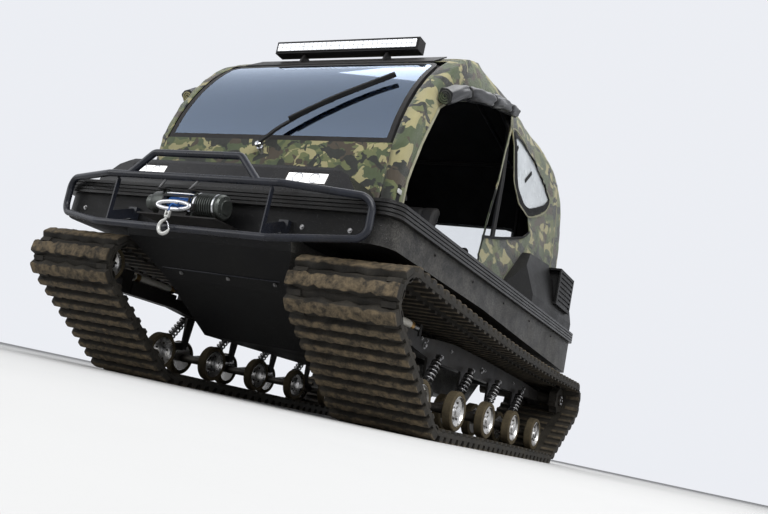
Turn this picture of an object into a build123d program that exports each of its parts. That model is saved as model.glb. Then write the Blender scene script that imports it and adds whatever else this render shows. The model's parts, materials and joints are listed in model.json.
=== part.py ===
"""Tracked all-terrain vehicle: open plastic hull, soft cab, rubber tracks.

Millimetres. +X is forward, +Y is the vehicle's left, +Z is up, and the origin
is on the ground under the middle of the vehicle.
"""
import math
import os

from build123d import *

os.makedirs("parts", exist_ok=True)

# Track and running gear
track_centre = 721
track_width = 492
link_count = 84
rib_height = 12
belt_thickness = 19
lug_height = 25
wheel_seat = 0.8
road_wheel_radius = 92
road_wheel_xs = (727, 305, -117, -539, -961)
wheel_disc_width = 48
wheel_gap = 186
wheel_rim = 18
wheel_dish = 12
hub_radius = 24
idler_x = 1204
idler_z = 476
idler_radius = 84
sprocket_x = -1349
sprocket_z = 398
sprocket_radius = 76.4
sprocket_teeth = 7
sprocket_tooth = 9
sprocket_shaft_radius = 34
final_drive_radius = 40
bearing_radius = 52
top_run_sag_radius = 26000

# Side beam and suspension
beam_inner = 664
beam_width = 62
beam_top = 462
beam_depth = 108
arm_pivot_z = 205
arm_reach = 300
shock_y = 762
shock_radius = 25
spring_coils = 6
cross_tube_radius = 24
tensioner_y = 701
tensioner_rear = 576
yoke_rear = 960

# Hull
wall = 8
rim_height = 825
hull_half_width = 870
hull_front = 1316
hull_rear = -1350
hull_corner = 95
hull_rear_corner = 40
belly_height = 262
tub_half_width = 330
crease_x = 1100
crease_height = 460
flare_half_width = 440
flare_height = 602
deck_thickness = 8
canopy_base = rim_height + deck_thickness
rim_ridge_height = 16
rim_ridge_count = 4
rim_overhang = 22
rim_groove = 7

# Cockpit
cockpit_front = 1010
cockpit_rear = -640
cockpit_half_width = 690
cockpit_front_half_width = 630
storage_front = 1250
storage_half_width = 300

# Hood
hood_rear = 1088
hood_front = 1310
hood_half_width = 688
hood_height = 132
hood_wall = 6
hood_gap = 1
hinge_x = 1078
hinge_z = canopy_base + 125
hinge_radius = 7
hinge_pin_radius = 3.7
hinge_offset = 420
lamp_inner = 322
lamp_outer = 532
lamp_foot = 45
lamp_height = 64

# Front guard and winch
tube_radius = 15
guard_x = 1472
guard_top = 823
guard_bottom = 606
guard_half_width = 800
hoop_top = 925
winch_x = 1402
winch_z = 726
drum_start = -130
drum_end = 16
motor_end = 164
gearbox_end = -242
motor_radius = 54
plate_top = 48
rope_radius = 3
rope_y = -32
fairlead_drop = 24
hook_outer = 36
hook_inner = 21
hook_x = 1508

# Windscreen
scuttle_foot_x = 1066
scuttle_thickness = 14
screen_bottom_x = 1030
screen_bottom_z = 1172
screen_top_x = 692
screen_top_z = 1722
screen_bottom_half = 622
screen_top_half = 612
screen_bow = 55
screen_top_dip = 18
screen_corner = 70
screen_frame_width = 24
screen_frame_depth = 24
glass_thickness = 5
glass_inset = 1
vent_middle = 40
vent_drop = 92
vent_length = 760
vent_height = 26
wiper_clearance = 17
wiper_pivot_side = -30
wiper_pivot_drop = 56
spindle_radius = 9

# Canopy
canopy_wall = 6
canopy_front_x = 1040
canopy_front_half = 690
canopy_taper_start = 250
canopy_rear_bend = -800
canopy_section = (
    (752, canopy_base),
    (750, 1100),
    (742, 1400),
    (727, 1680),
    (705, 1800),
    (668, 1880),
    (598, 1932),
    (420, 1956),
)
canopy_roof = (
    (560, 1812),
    (400, 1882),
    (230, 1934),
    (0, 1956),
    (-420, 1950),
    (-760, 1888),
    (-1010, 1782),
    (-1165, 1630),
    (-1235, 1380),
    (-1262, 1100),
    (-1268, canopy_base),
)
door_outline = (
    (950, canopy_base + 30),
    (950, 1035),
    (923, 1139),
    (880, 1272),
    (818, 1430),
    (740, 1500),
    (400, 1648),
    (-40, 1775),
    (18, 1550),
    (75, 1310),
    (128, 1130),
    (158, 950),
    (160, canopy_base + 30),
)
side_window_outline = (
    (-100, 1680),
    (-150, 1700),
    (-235, 1702),
    (-460, 1678),
    (-680, 1624),
    (-835, 1570),
    (-740, 1488),
    (-475, 1380),
    (-310, 1398),
    (-205, 1475),
    (-140, 1610),
)
rear_window_half = 400
rear_window_low = 1190
rear_window_high = 1470
door_roll_radius = 36
door_roll_gap = 6
rest_gap = 0.3
door_roll_places = (
    (855, 1468),
    (720, 1548),
    (510, 1622),
    (300, 1694),
    (40, 1760),
)

# Light bar
bar_x = 600
bar_clearance = 41
bar_half = 430
bar_height = 68
bar_depth = 74
visor_half = 560
visor_thickness = 5
visor_setback = 6

# Cabin
seat_height = 660
seat_cushion = 90
bench_height = 640
seat_box_gap = 4
box_half_width = tub_half_width - wall - seat_box_gap

# Rear scoops
pod_front = -150
pod_height = 331
pod_top = rim_height + pod_height
pod_outer = hull_half_width - 4
pod_mouth = -850
louvre_rear = -1184

# Rear lamps and hitch
rear_lamp_top = rim_height - 115
rear_lamp_height = 60
hitch_z = 618
hitch_reach = 160
hitch_hole_radius = 13

pieces = {}


def prism_y(points, y_low, y_high):
    """Polygon of (x, z) points, extruded across the vehicle."""
    outline = Polyline(*[(x, y_low, z) for x, z in points], close=True)
    return extrude(make_face(outline), amount=y_high - y_low, dir=(0, 1, 0))


def prism_x(points, x_low, x_high):
    """Polygon of (y, z) points, extruded along the vehicle."""
    outline = Polyline(*[(x_low, y, z) for y, z in points], close=True)
    return extrude(make_face(outline), amount=x_high - x_low, dir=(1, 0, 0))


def prism_z(points, z_low, z_high):
    """Polygon of (x, y) points, extruded upward."""
    outline = Polyline(*[(x, y, z_low) for x, y in points], close=True)
    return extrude(make_face(outline), amount=z_high - z_low, dir=(0, 0, 1))


def block(x_low, x_high, y_low, y_high, z_low, z_high):
    centre = ((x_low + x_high) / 2, (y_low + y_high) / 2, (z_low + z_high) / 2)
    return Pos(*centre) * Box(x_high - x_low, y_high - y_low, z_high - z_low)


def rod(start, end, radius):
    axis = Vector(*end) - Vector(*start)
    return extrude(Plane(start, z_dir=axis) * Circle(radius), amount=axis.length)


def pipe(start, end, outer, inner):
    axis = Vector(*end) - Vector(*start)
    ring = Plane(start, z_dir=axis) * (Circle(outer) - Circle(inner))
    return extrude(ring, amount=axis.length)


def bent_rod(points, bend, radius):
    path = FilletPolyline(*points, radius=bend)
    return sweep(Plane(path @ 0, z_dir=path % 0) * Circle(radius), path=path)


def across(x, y_low, y_high, z, radius):
    """Round bar along Y."""
    return rod((x, y_low, z), (x, y_high, z), radius)


def mirrored(shape):
    return mirror(shape, about=Plane.XZ)


def both(shape):
    return shape + mirrored(shape)


def joined(shapes):
    whole = shapes[0]
    for shape in shapes[1:]:
        whole = whole + shape
    return whole


# Track

def tangent_points(centre_a, radius_a, centre_b, radius_b):
    """Ends of the common tangent that keeps both circles on its left."""
    run = Vector(*centre_b) - Vector(*centre_a)
    heading = math.atan2(run.Y, run.X)
    turn = heading - math.acos((radius_a - radius_b) / run.length)
    out = Vector(math.cos(turn), math.sin(turn))
    return Vector(*centre_a) + out * radius_a, Vector(*centre_b) + out * radius_b


def circle_meeting(centre_a, reach_a, centre_b, reach_b):
    """Upper point that lies reach_a from one centre and reach_b from the other."""
    base = Vector(*centre_b) - Vector(*centre_a)
    along = (reach_a ** 2 - reach_b ** 2 + base.length ** 2) / (2 * base.length)
    height = math.sqrt(reach_a ** 2 - along ** 2)
    unit = base.normalized()
    up = Vector(unit.Y, -unit.X)
    return Vector(*centre_a) + unit * along + up * height


def arc_through(centre, radius, start, end, clockwise=False):
    """Arc about a centre, from start to end, as a three-point arc."""
    first = math.atan2(start.Y - centre.Y, start.X - centre.X)
    last = math.atan2(end.Y - centre.Y, end.X - centre.X)
    sweep_angle = (last - first) % (2 * math.pi)
    if clockwise:
        sweep_angle -= 2 * math.pi
    middle = first + sweep_angle / 2
    peak = centre + Vector(math.cos(middle), math.sin(middle)) * radius
    return ThreePointArc(start, peak, end)


def track_path():
    """Closed path of the rib tips, drawn in a plane with x along and y up."""
    road_z = lug_height + belt_thickness + rib_height + road_wheel_radius + wheel_seat
    road = road_wheel_radius + wheel_seat
    drive = sprocket_radius + wheel_seat
    front = idler_radius + wheel_seat
    sprocket = Vector(sprocket_x, sprocket_z)
    rear_wheel = Vector(road_wheel_xs[-1], road_z)
    front_wheel = Vector(road_wheel_xs[0], road_z)
    idler = Vector(idler_x, idler_z)
    a, b = tangent_points(sprocket, drive, rear_wheel, road)
    c, d = tangent_points(rear_wheel, road, front_wheel, road)
    e, f = tangent_points(front_wheel, road, idler, front)
    sag = top_run_sag_radius
    sky = circle_meeting(idler, sag + front, sprocket, sag + drive)
    g = idler + (sky - idler).normalized() * front
    h = sprocket + (sky - sprocket).normalized() * drive
    rear_most = sprocket + Vector(-drive, 0)
    return Wire([
        arc_through(sprocket, drive, rear_most, a).edge(),
        Line(a, b).edge(),
        arc_through(rear_wheel, road, b, c).edge(),
        Line(c, d).edge(),
        arc_through(front_wheel, road, d, e).edge(),
        Line(e, f).edge(),
        arc_through(idler, front, f, g).edge(),
        arc_through(sky, sag, g, h, clockwise=True).edge(),
        arc_through(sprocket, drive, h, rear_most).edge(),
    ])


def track_outline(path, steps):
    """Closed outline at (share of a link, distance outward) steps on each link."""
    points = []
    for link in range(link_count):
        for share, outward in steps:
            place = (link + share) / link_count
            heading = path % place
            spot = path @ place
            points.append((spot.X + heading.Y * outward, spot.Y - heading.X * outward))
    return points


def track():
    path = track_path()
    back = rib_height + belt_thickness
    tip = back + lug_height
    outer = track_outline(path, ((0.20, back), (0.31, tip), (0.69, tip), (0.80, back)))
    inner = track_outline(path, ((0.25, rib_height), (0.34, 0), (0.66, 0), (0.75, rib_height)))
    low = track_centre - track_width / 2
    high = track_centre + track_width / 2
    return prism_y(outer, low, high) - prism_y(inner, low, high)


# Running gear

def wheel_faces():
    """Near and far side of each of the two discs of a twin wheel."""
    inner = track_centre - wheel_gap / 2
    outer = track_centre + wheel_gap / 2
    return (inner - wheel_disc_width, inner), (outer, outer + wheel_disc_width)


def road_wheel_height():
    return lug_height + belt_thickness + rib_height + road_wheel_radius + wheel_seat


def twin_wheel(x, z, radius):
    """Two dished discs on one axle, each with its rubber rim."""
    (inner_low, inner_high), (outer_low, outer_high) = wheel_faces()
    rim = radius - wheel_rim
    inner_disc = across(x, inner_low, inner_high, z, radius)
    outer_disc = across(x, outer_low, outer_high, z, radius)
    inner_disc = inner_disc - across(x, inner_low, inner_low + wheel_dish, z, rim)
    outer_disc = outer_disc - across(x, outer_high - wheel_dish, outer_high, z, rim)
    axle = across(x, inner_low + 2, outer_high - 2, z, hub_radius)
    return inner_disc + outer_disc + axle


def road_wheels():
    z = road_wheel_height()
    return joined([twin_wheel(x, z, road_wheel_radius) for x in road_wheel_xs])


def idler():
    return twin_wheel(idler_x, idler_z, idler_radius)


def sprocket():
    """Two toothed discs whose teeth stand in the gaps between the track's ribs."""
    reach = sprocket_radius + sprocket_tooth
    points = []
    for tooth in range(sprocket_teeth):
        middle = math.pi + tooth * 2 * math.pi / sprocket_teeth
        for turn, radius in ((-0.22, sprocket_radius - 1), (-0.11, reach),
                             (0.11, reach), (0.22, sprocket_radius - 1)):
            points.append((sprocket_x + radius * math.cos(middle + turn),
                           sprocket_z + radius * math.sin(middle + turn)))
    shapes = [prism_y(points, low, high) for low, high in wheel_faces()]
    (inner_low, _), (_, outer_high) = wheel_faces()
    shapes.append(across(sprocket_x, inner_low, outer_high + 12, sprocket_z, sprocket_shaft_radius))
    shapes.append(across(sprocket_x, tub_half_width, inner_low, sprocket_z, final_drive_radius))
    return joined(shapes)


def side_beam():
    """Box beam from the idler slide to the sprocket bearing, with cross tubes."""
    low = beam_top - beam_depth
    outline = (
        (660, beam_top - 38), (378, beam_top - 8), (170, beam_top + 6), (-320, beam_top),
        (-980, beam_top - 18), (sprocket_x + 46, sprocket_z + 30),
        (sprocket_x + 46, sprocket_z - 30), (-980, low + 6), (440, low), (660, low + 26),
    )
    beam = prism_y(outline, beam_inner, beam_inner + beam_width)
    slide = block(640, 960, beam_inner, beam_inner + beam_width + 12, beam_top - 84, beam_top - 16)
    bearing = across(sprocket_x, beam_inner, beam_inner + beam_width, sprocket_z, bearing_radius)
    bearing = bearing - across(sprocket_x, beam_inner, beam_inner + beam_width, sprocket_z,
                               sprocket_shaft_radius + rest_gap)
    shapes = [beam, slide, bearing]
    for x in (520, -250, -1000):
        shapes.append(across(x, tub_half_width, beam_inner, beam_top - 58, cross_tube_radius))
    for x in road_wheel_xs[:-1]:
        pivot = x - arm_reach
        bracket = ((pivot - 34, low + 20), (pivot + 34, low + 20),
                   (pivot + 18, arm_pivot_z - 16), (pivot - 18, arm_pivot_z - 16))
        shapes.append(prism_y(bracket, beam_inner + beam_width - 12, beam_inner + beam_width))
    ear = tensioner_rear
    shapes.append(block(ear - 24, ear, tensioner_y - 14, tensioner_y + 14, beam_top - 60, beam_top + 28))
    return joined(shapes) + idler_yoke()


def suspension_arms():
    """Arms from the beam's brackets to the axles, with pivot pins."""
    y_low = beam_inner + beam_width + 6
    y_high = y_low + 26
    axle_z = road_wheel_height()
    shapes = []
    for x in road_wheel_xs[:-1]:
        pivot = x - arm_reach
        arm = prism_y(((pivot, arm_pivot_z + 20), (x, axle_z + 20),
                       (x, axle_z - 20), (pivot, arm_pivot_z - 20)), y_low, y_high)
        shapes.append(arm + across(pivot, y_low - 6, y_high + 4, arm_pivot_z, 22))
    rear = road_wheel_xs[-1]
    pivot = road_wheel_xs[-2] - arm_reach
    shapes.append(prism_y(((pivot, arm_pivot_z - 20), (rear, axle_z - 20), (rear, axle_z + 20),
                           (pivot + 30, arm_pivot_z + 6)), y_low, y_high))
    arms = joined(shapes)
    for x in road_wheel_xs:
        arms = arms - across(x, y_low - 1, y_high + 1, axle_z, hub_radius + rest_gap)
    return arms


def coil_spring(start, end):
    """Spring as a turned solid with one ridge for each coil."""
    axis = Vector(*end) - Vector(*start)
    pitch = axis.length / spring_coils
    outline = [(0, 0)]
    for turn in range(spring_coils):
        outline.append((shock_radius - 7, turn * pitch))
        outline.append((shock_radius, (turn + 0.3) * pitch))
        outline.append((shock_radius, (turn + 0.55) * pitch))
    outline += [(shock_radius - 7, axis.length), (0, axis.length)]
    half = make_face(Polyline(*[(r, 0, h) for r, h in outline], close=True))
    return Plane(start, z_dir=axis) * revolve(half, Axis.Z)


def shocks():
    """Coil-over shocks from the beam's side to the arms."""
    shapes = []
    for x in road_wheel_xs[:-1]:
        top = (x - arm_reach - 22, shock_y, beam_top - 88)
        foot = (x - arm_reach + 88, shock_y, arm_pivot_z + 24)
        slope = Vector(*foot) - Vector(*top)
        spring_top = Vector(*top) + slope * 0.24
        spring_foot = Vector(*top) + slope * 0.92
        shapes.append(rod(top, foot, 10))
        shapes.append(coil_spring(tuple(spring_top), tuple(spring_foot)))
        shapes.append(across(top[0], beam_inner + beam_width, shock_y + 18, top[2], 13))
    return joined(shapes)


def tensioner():
    """Cylinder above the idler slide, between the beam's ear and the idler's yoke."""
    y = tensioner_y
    z = beam_top + 8
    barrel = rod((640, y, z), (930, y, z), 20)
    return barrel + rod((tensioner_rear, y, z), (yoke_rear, y, z), 12)


def idler_yoke():
    """Arm that carries the idler's axle out of the slide."""
    low = tensioner_y - 26
    high = tensioner_y + 26
    upright = block(yoke_rear, yoke_rear + 60, low, high, beam_top - 84, idler_z + 14)
    bar = block(yoke_rear, idler_x - 30, low, high, idler_z - 30, idler_z - 2)
    eye = across(idler_x, low, high, idler_z, 36)
    return upright + bar + eye - across(idler_x, low - 1, high + 1, idler_z, hub_radius + rest_gap)


# Hull

def hull_form(inset):
    """Tub between the tracks with sponsons over them, grown inward by the inset."""
    top = rim_height + (50 if inset else 0)
    tub_profile = (
        (hull_front - inset, top), (hull_front - inset, 655), (1290 - inset, flare_height + inset),
        (crease_x - inset / 2, crease_height + inset), (750 - inset / 2, belly_height + inset),
        (-1120, belly_height + inset), (-1320 + inset, 430), (hull_rear + inset, 560),
        (hull_rear + inset, top),
    )
    tub_section = (
        (-tub_half_width + inset, belly_height - 20), (tub_half_width - inset, belly_height - 20),
        (tub_half_width - inset, crease_height), (flare_half_width - inset, flare_height),
        (flare_half_width - inset, top), (-flare_half_width + inset, top),
        (-flare_half_width + inset, flare_height), (-tub_half_width + inset, crease_height),
    )
    tub = prism_y(tub_profile, -flare_half_width, flare_half_width)
    tub = tub & prism_x(tub_section, hull_rear, hull_front)
    side_profile = (
        (hull_front - inset, top), (hull_front - inset, 657 + inset), (280, 645 + inset),
        (-360, 616 + inset), (hull_rear + inset, 574 + inset), (hull_rear + inset, top),
    )
    half = hull_half_width - inset
    sponsons = prism_y(side_profile, -half, half)
    corners = sponsons.edges().filter_by(Axis.Z).group_by(Axis.X)
    sponsons = fillet(corners[-1], hull_corner - inset)
    sponsons = fillet(sponsons.edges().filter_by(Axis.Z).group_by(Axis.X)[0], hull_rear_corner)
    return tub + sponsons


def hull():
    return hull_form(0) - hull_form(wall)


def rim_outline(outward):
    """Plan outline of the hull, grown outward."""
    half = hull_half_width + outward
    plan = make_face(Polyline(
        (hull_front + outward, -half), (hull_front + outward, half),
        (hull_rear - outward, half), (hull_rear - outward, -half), close=True))
    return fillet(plan.vertices(), hull_corner * 0.8)


def rim_moulding():
    """Ribbed moulding round the hull's edge."""
    shapes = []
    for ridge in range(rim_ridge_count):
        foot = rim_height - (ridge + 1) * rim_ridge_height + deck_thickness
        full = Pos(0, 0, foot) * rim_outline(rim_overhang)
        waist = Pos(0, 0, foot + rim_ridge_height * 0.7) * rim_outline(rim_overhang - rim_groove)
        shapes.append(extrude(full, amount=rim_ridge_height * 0.7, dir=(0, 0, 1)))
        shapes.append(extrude(waist, amount=rim_ridge_height * 0.3, dir=(0, 0, 1)))
    ring = joined(shapes)
    low = rim_height - rim_ridge_count * rim_ridge_height
    half = hull_half_width
    core = block(hull_rear, hull_front, -half, half, low, rim_height + 2 * deck_thickness)
    corners = core.edges().filter_by(Axis.Z).group_by(Axis.X)
    core = fillet(corners[-1], hull_corner)
    core = fillet(core.edges().filter_by(Axis.Z).group_by(Axis.X)[0], hull_rear_corner)
    return ring - core


def deck():
    """Deck plate with the cockpit and the front storage cut out."""
    half = hull_half_width
    plate = block(hull_rear, hull_front, -half, half, rim_height, canopy_base)
    corners = plate.edges().filter_by(Axis.Z).group_by(Axis.X)
    plate = fillet(corners[-1], hull_corner)
    plate = fillet(plate.edges().filter_by(Axis.Z).group_by(Axis.X)[0], hull_rear_corner)
    wide = cockpit_half_width
    narrow = cockpit_front_half_width
    neck = cockpit_front - 130
    cockpit = prism_z(((cockpit_rear, -wide), (neck - 60, -wide), (neck, -narrow), (cockpit_front, -narrow),
                       (cockpit_front, narrow), (neck, narrow), (neck - 60, wide), (cockpit_rear, wide)),
                      rim_height - 1, canopy_base + 1)
    storage = block(hood_rear + 30, storage_front, -storage_half_width, storage_half_width,
                    rim_height - 1, canopy_base + 1)
    return plate - cockpit - storage


def scuttle():
    """Panel from the deck to the underside of the windscreen's frame."""
    _, _, lean = screen_bend()
    depth = screen_frame_depth / math.cos(lean)
    back = Vector(screen_bottom_x, 0, screen_bottom_z) - screen_plane().z_dir * depth
    rise = ((scuttle_foot_x, canopy_base), (screen_bottom_x, screen_bottom_z), (back.X, back.Z),
            (scuttle_foot_x - scuttle_thickness, canopy_base))
    half = screen_bottom_half + 10
    return prism_y(rise, -half, half)


# Hood and head lamps

def hood_section(inset):
    top = canopy_base + hood_height
    half = hood_half_width - inset
    return (
        (-half, canopy_base + hood_gap - (20 if inset else 0)),
        (-half, canopy_base + 14),
        (-half + 70, top - 34 - inset),
        (-lamp_outer - 14 + inset, top - inset),
        (lamp_outer + 14 - inset, top - inset),
        (half - 70, top - 34 - inset),
        (half, canopy_base + 14),
        (half, canopy_base + hood_gap - (20 if inset else 0)),
    )


def hood_form(inset):
    top = canopy_base + hood_height
    body = prism_x(hood_section(inset), hood_rear + inset, hood_front + 40)
    low = canopy_base - 20 if inset else canopy_base
    rake = ((hood_rear - 20, low), (hood_front - inset, low), (hood_front - inset, canopy_base + 20),
            (hood_front - 34 - inset, top - 14), (hood_front - 60 - inset, top + 30),
            (hood_rear - 20, top + 30))
    return body & prism_y(rake, -hood_half_width - 5, hood_half_width + 5)


def hood():
    lid = hood_form(0) - hood_form(hood_wall)
    barrels = [pipe((hinge_x, y - 40, hinge_z), (hinge_x, y + 40, hinge_z),
                    hinge_radius, hinge_pin_radius + rest_gap) for y in (-hinge_offset, hinge_offset)]
    webs = [block(hinge_x + hinge_radius - 2, hood_rear + 4, y - 40, y + 40, hinge_z - 12, hinge_z)
            for y in (-hinge_offset, hinge_offset)]
    return lid + joined(webs) + joined(barrels) - lamp_space(0)


def hood_hinges():
    """Fixed knuckles on the scuttle, and the pins through the hood's barrels."""
    leaf = ((hinge_x, hinge_z - hinge_radius), (hinge_x, hinge_z + hinge_radius),
            (1040, hinge_z + 12), (1040, hinge_z - 20))
    shapes = []
    for y in (-hinge_offset, hinge_offset):
        shapes.append(across(hinge_x, y - 60, y + 60, hinge_z, hinge_pin_radius))
        for low in (y - 62, y + 42):
            shapes.append(across(hinge_x, low, low + 20, hinge_z, hinge_radius))
            shapes.append(prism_y(leaf, low, low + 20))
    return joined(shapes) - scuttle()


def lamp_space(gap):
    """Room for both lamps behind the raked face of the hood."""
    low = canopy_base + lamp_foot
    side = block(hood_front - 90, hood_front + 20, lamp_inner + gap, lamp_outer - gap,
                 low + gap, low + lamp_height - gap)
    return both(side)


def head_lamps():
    return lamp_space(0) & hood_form(0)


# Front guard and winch

def front_guard():
    """One bent loop of tube with a hoop on top and two brackets to the hull."""
    half_loop = bent_rod((
        (guard_x, 0, guard_top), (guard_x, 450, guard_top), (1362, guard_half_width, guard_top),
        (1354, guard_half_width, guard_bottom + 58), (guard_x, 450, guard_bottom),
        (guard_x + 2, 0, guard_bottom)), 55, tube_radius)
    hoop = bent_rod(((guard_x - 2, -340, guard_top), (guard_x - 6, -230, hoop_top),
                     (guard_x - 6, 230, hoop_top), (guard_x - 2, 340, guard_top)), 36, tube_radius)
    brackets = []
    for y in (-408, 402):
        arm = ((hull_front + 20, guard_bottom + 60), (guard_x - 6, guard_bottom + 4),
               (guard_x - 6, guard_top - 4), (guard_x - 26, guard_top - 20),
               (guard_x - 26, guard_bottom + 60), (hull_front + 20, guard_bottom + 104))
        brackets.append(prism_y(arm, y, y + 6))
        brackets.append(block(hull_front, hull_front + 22, y - 20, y + 26,
                              guard_bottom + 54, guard_bottom + 110))
    return both(half_loop) + hoop + joined(brackets)


def winch_mount():
    """Tray from the hull to the lower tube, with the fairlead's plate and two stays."""
    tray = block(hull_front, guard_x - 12, gearbox_end - 6, motor_end + 6, winch_z - 66, winch_z - 60)
    plate = block(guard_x - 18, guard_x - 12, drum_start, drum_end,
                  winch_z - 60, winch_z + 24)
    slot = block(guard_x - 19, guard_x - 11, drum_start + 30, drum_end - 30,
                 winch_z - fairlead_drop - 15, winch_z - fairlead_drop + 15)
    foot_z = winch_z + plate_top
    straps = [rod((winch_x, foot_y, foot_z), (guard_x, top_y, guard_top), 6)
              for foot_y, top_y in ((drum_start - 7, drum_start - 34), (drum_end + 7, drum_end - 6))]
    return tray + plate - slot + (joined(straps) - front_guard() - winch())


def winch():
    """Gearbox, motor and two end plates, with tie rods over the drum."""
    gearbox = across(winch_x, gearbox_end, drum_start, winch_z, motor_radius - 4)
    motor = across(winch_x, drum_end, motor_end - 20, winch_z, motor_radius - 3)
    for y in range(drum_end + 40, motor_end - 24, 14):
        motor = motor + across(winch_x, y, y + 7, winch_z, motor_radius)
    cap = across(winch_x, motor_end - 20, motor_end, winch_z, motor_radius - 16)
    plates = [block(winch_x - 40, winch_x + 40, low, low + 14, winch_z - 60, winch_z + plate_top)
              for low in (drum_start - 14, drum_end)]
    rods = [across(winch_x + dx, drum_start, drum_end, winch_z + dz, 5)
            for dx, dz in ((34, 36), (34, -36), (-34, 36))]
    return gearbox + motor + cap + joined(plates) + joined(rods)


def winch_drum():
    """Drum with its layer of rope, and the straight run to the fairlead."""
    return across(winch_x, drum_start, drum_end, winch_z, 30)


def fairlead():
    """Oval hawse with a rounded mouth."""
    middle = (drum_start + drum_end) / 2
    half = (drum_end - drum_start) / 2 + 16
    oval = Plane((guard_x - 12, middle, winch_z - fairlead_drop), x_dir=(0, 1, 0), z_dir=(1, 0, 0))
    ring = extrude(oval * SlotOverall(2 * half, 50), amount=16)
    mouth = extrude(oval * SlotOverall(2 * half - 76, 24), amount=16)
    return ring - mouth


def rope_route():
    """From the drum's face through the fairlead, then down to the hook."""
    y = rope_y
    z = winch_z - fairlead_drop
    return ((winch_x + 16, y, z), (hook_x, y, z), (hook_x, y, z - 34))


def winch_rope():
    return bent_rod(rope_route(), 14, rope_radius) - winch_drum()


def winch_hook():
    """Clevis and open hook that hangs on the rope's end."""
    x, y, z = rope_route()[-1]
    clevis = block(x - 8, x + 8, y - 11, y + 11, z - 26, z)
    centre_z = z - hook_outer - 32
    ring = Plane((x, y, centre_z), x_dir=(0, 1, 0), z_dir=(1, 0, 0))
    bow = extrude(ring * (Circle(hook_outer) - Circle(hook_inner)), amount=8, both=True)
    gap = block(x - 10, x + 10, y + 4, y + hook_outer + 4, centre_z + 8, centre_z + hook_outer - 6)
    shank = block(x - 7, x + 7, y - 8, y + 8, centre_z + hook_inner + 3, z - 24)
    return clevis + (bow - gap) + shank


# Windscreen, wiper and light bar

def screen_plane():
    """Plane through the lower and upper edge of the glass, x to the left side and y up the slope."""
    slope = Vector(screen_top_x - screen_bottom_x, 0, screen_top_z - screen_bottom_z)
    normal = Vector(0, 1, 0).cross(slope)
    if normal.X < 0:
        normal = normal * -1
    return Plane((screen_bottom_x, 0, screen_bottom_z), x_dir=(0, 1, 0), z_dir=normal)


def screen_height():
    return math.hypot(screen_top_x - screen_bottom_x, screen_top_z - screen_bottom_z)


def screen_bend():
    """Centre and radius of the bent glass in side view, and its lean at the two edges."""
    half = screen_height() / 2
    radius = (half ** 2 + screen_bow ** 2) / (2 * screen_bow)
    plane = screen_plane()
    centre = plane.origin + plane.y_dir * half + plane.z_dir * (screen_bow - radius)
    return centre, radius, math.asin(half / radius)


def on_bend(share, depth):
    """Place in side view from the lower edge at 0 to the upper at 1, behind the outer face."""
    centre, radius, lean = screen_bend()
    plane = screen_plane()
    turn = lean * (2 * share - 1)
    spot = centre + (plane.z_dir * math.cos(turn) + plane.y_dir * math.sin(turn)) * (radius - depth)
    return spot.X, spot.Z


def screen_band(near, far, face):
    """Part of the bent sheet between two depths, inside an outline on the screen's plane."""
    past = 0.1
    edges = [ThreePointArc(*(on_bend(share, depth) for share in (-past, 0.5, 1 + past)))
             for depth in (near, far)]
    ends = [Line(on_bend(share, near), on_bend(share, far)) for share in (-past, 1 + past)]
    band = extrude(Plane.XZ * make_face(edges + ends), amount=screen_bottom_half + 10, both=True)
    behind = 2 * screen_frame_depth
    cutter = extrude(screen_plane().offset(-behind) * face, amount=behind + screen_bow + 10)
    return band & cutter


def screen_face(border):
    high = screen_height() - border
    low_half = screen_bottom_half - border
    top_half = screen_top_half - border
    corner = high - screen_top_dip
    edges = [
        Line((-low_half, border), (low_half, border)),
        Line((low_half, border), (top_half, corner)),
        ThreePointArc((top_half, corner), (0, high), (-top_half, corner)),
        Line((-top_half, corner), (-low_half, border)),
    ]
    face = make_face(edges)
    return fillet(face.vertices().sort_by(Axis.Y)[-2:], screen_corner - border)


def windscreen_frame():
    return screen_band(0, screen_frame_depth, screen_face(0) - screen_face(screen_frame_width))


def windscreen_glass():
    return screen_band(glass_inset, glass_inset + glass_thickness, screen_face(screen_frame_width))


def on_screen(across_y, up, out):
    plane = screen_plane()
    return tuple(plane.origin + plane.x_dir * across_y + plane.y_dir * up + plane.z_dir * out)


def screen_vent():
    """Long bar with round ends behind the top of the glass."""
    slot = Pos(vent_middle, screen_height() - vent_drop) * SlotOverall(vent_length, vent_height)
    return screen_band(glass_inset + glass_thickness, screen_frame_depth, slot)


def wiper_pivot(out):
    """Place on the wiper's axis, at a height above the screen's plane."""
    return on_screen(wiper_pivot_side, -wiper_pivot_drop, out)


def wiper():
    """Arm and blade that sweep in front of the bent glass."""
    above = screen_bow + wiper_clearance
    hub = rod(wiper_pivot(8), wiper_pivot(30), spindle_radius + 3)
    arm = bent_rod((wiper_pivot(22), on_screen(50, 40, above - 25),
                    on_screen(286, 243, above + 10)), 60, 5)
    blade = bent_rod((on_screen(85, 75, above - 18), on_screen(286, 243, above),
                      on_screen(487, 411, above)), 300, 6)
    return hub + arm + blade


def wiper_spindle():
    """Spindle that stands out of the scuttle under the wiper's hub."""
    foot = wiper_pivot(-60)
    spindle = rod(foot, wiper_pivot(8 - rest_gap), spindle_radius)
    collar = rod(foot, wiper_pivot(-2), spindle_radius + 6)
    behind = prism_y(((scuttle_foot_x, canopy_base), (screen_bottom_x, screen_bottom_z),
                      (900, screen_bottom_z + 60), (900, canopy_base)), -60, 0)
    return spindle + collar - behind


def visor_line(x, lift):
    """Height above the canopy's front slope at x."""
    x_low, z_low = screen_top_x, screen_top_z
    x_high, z_high = canopy_roof[0]
    return z_low + (x - x_low) * (z_high - z_low) / (x_high - x_low) + lift


def bar_height_above_ground():
    """Middle of the light bar, above the canopy's front slope."""
    return visor_line(bar_x, 0) + bar_clearance + bar_height / 2


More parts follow.
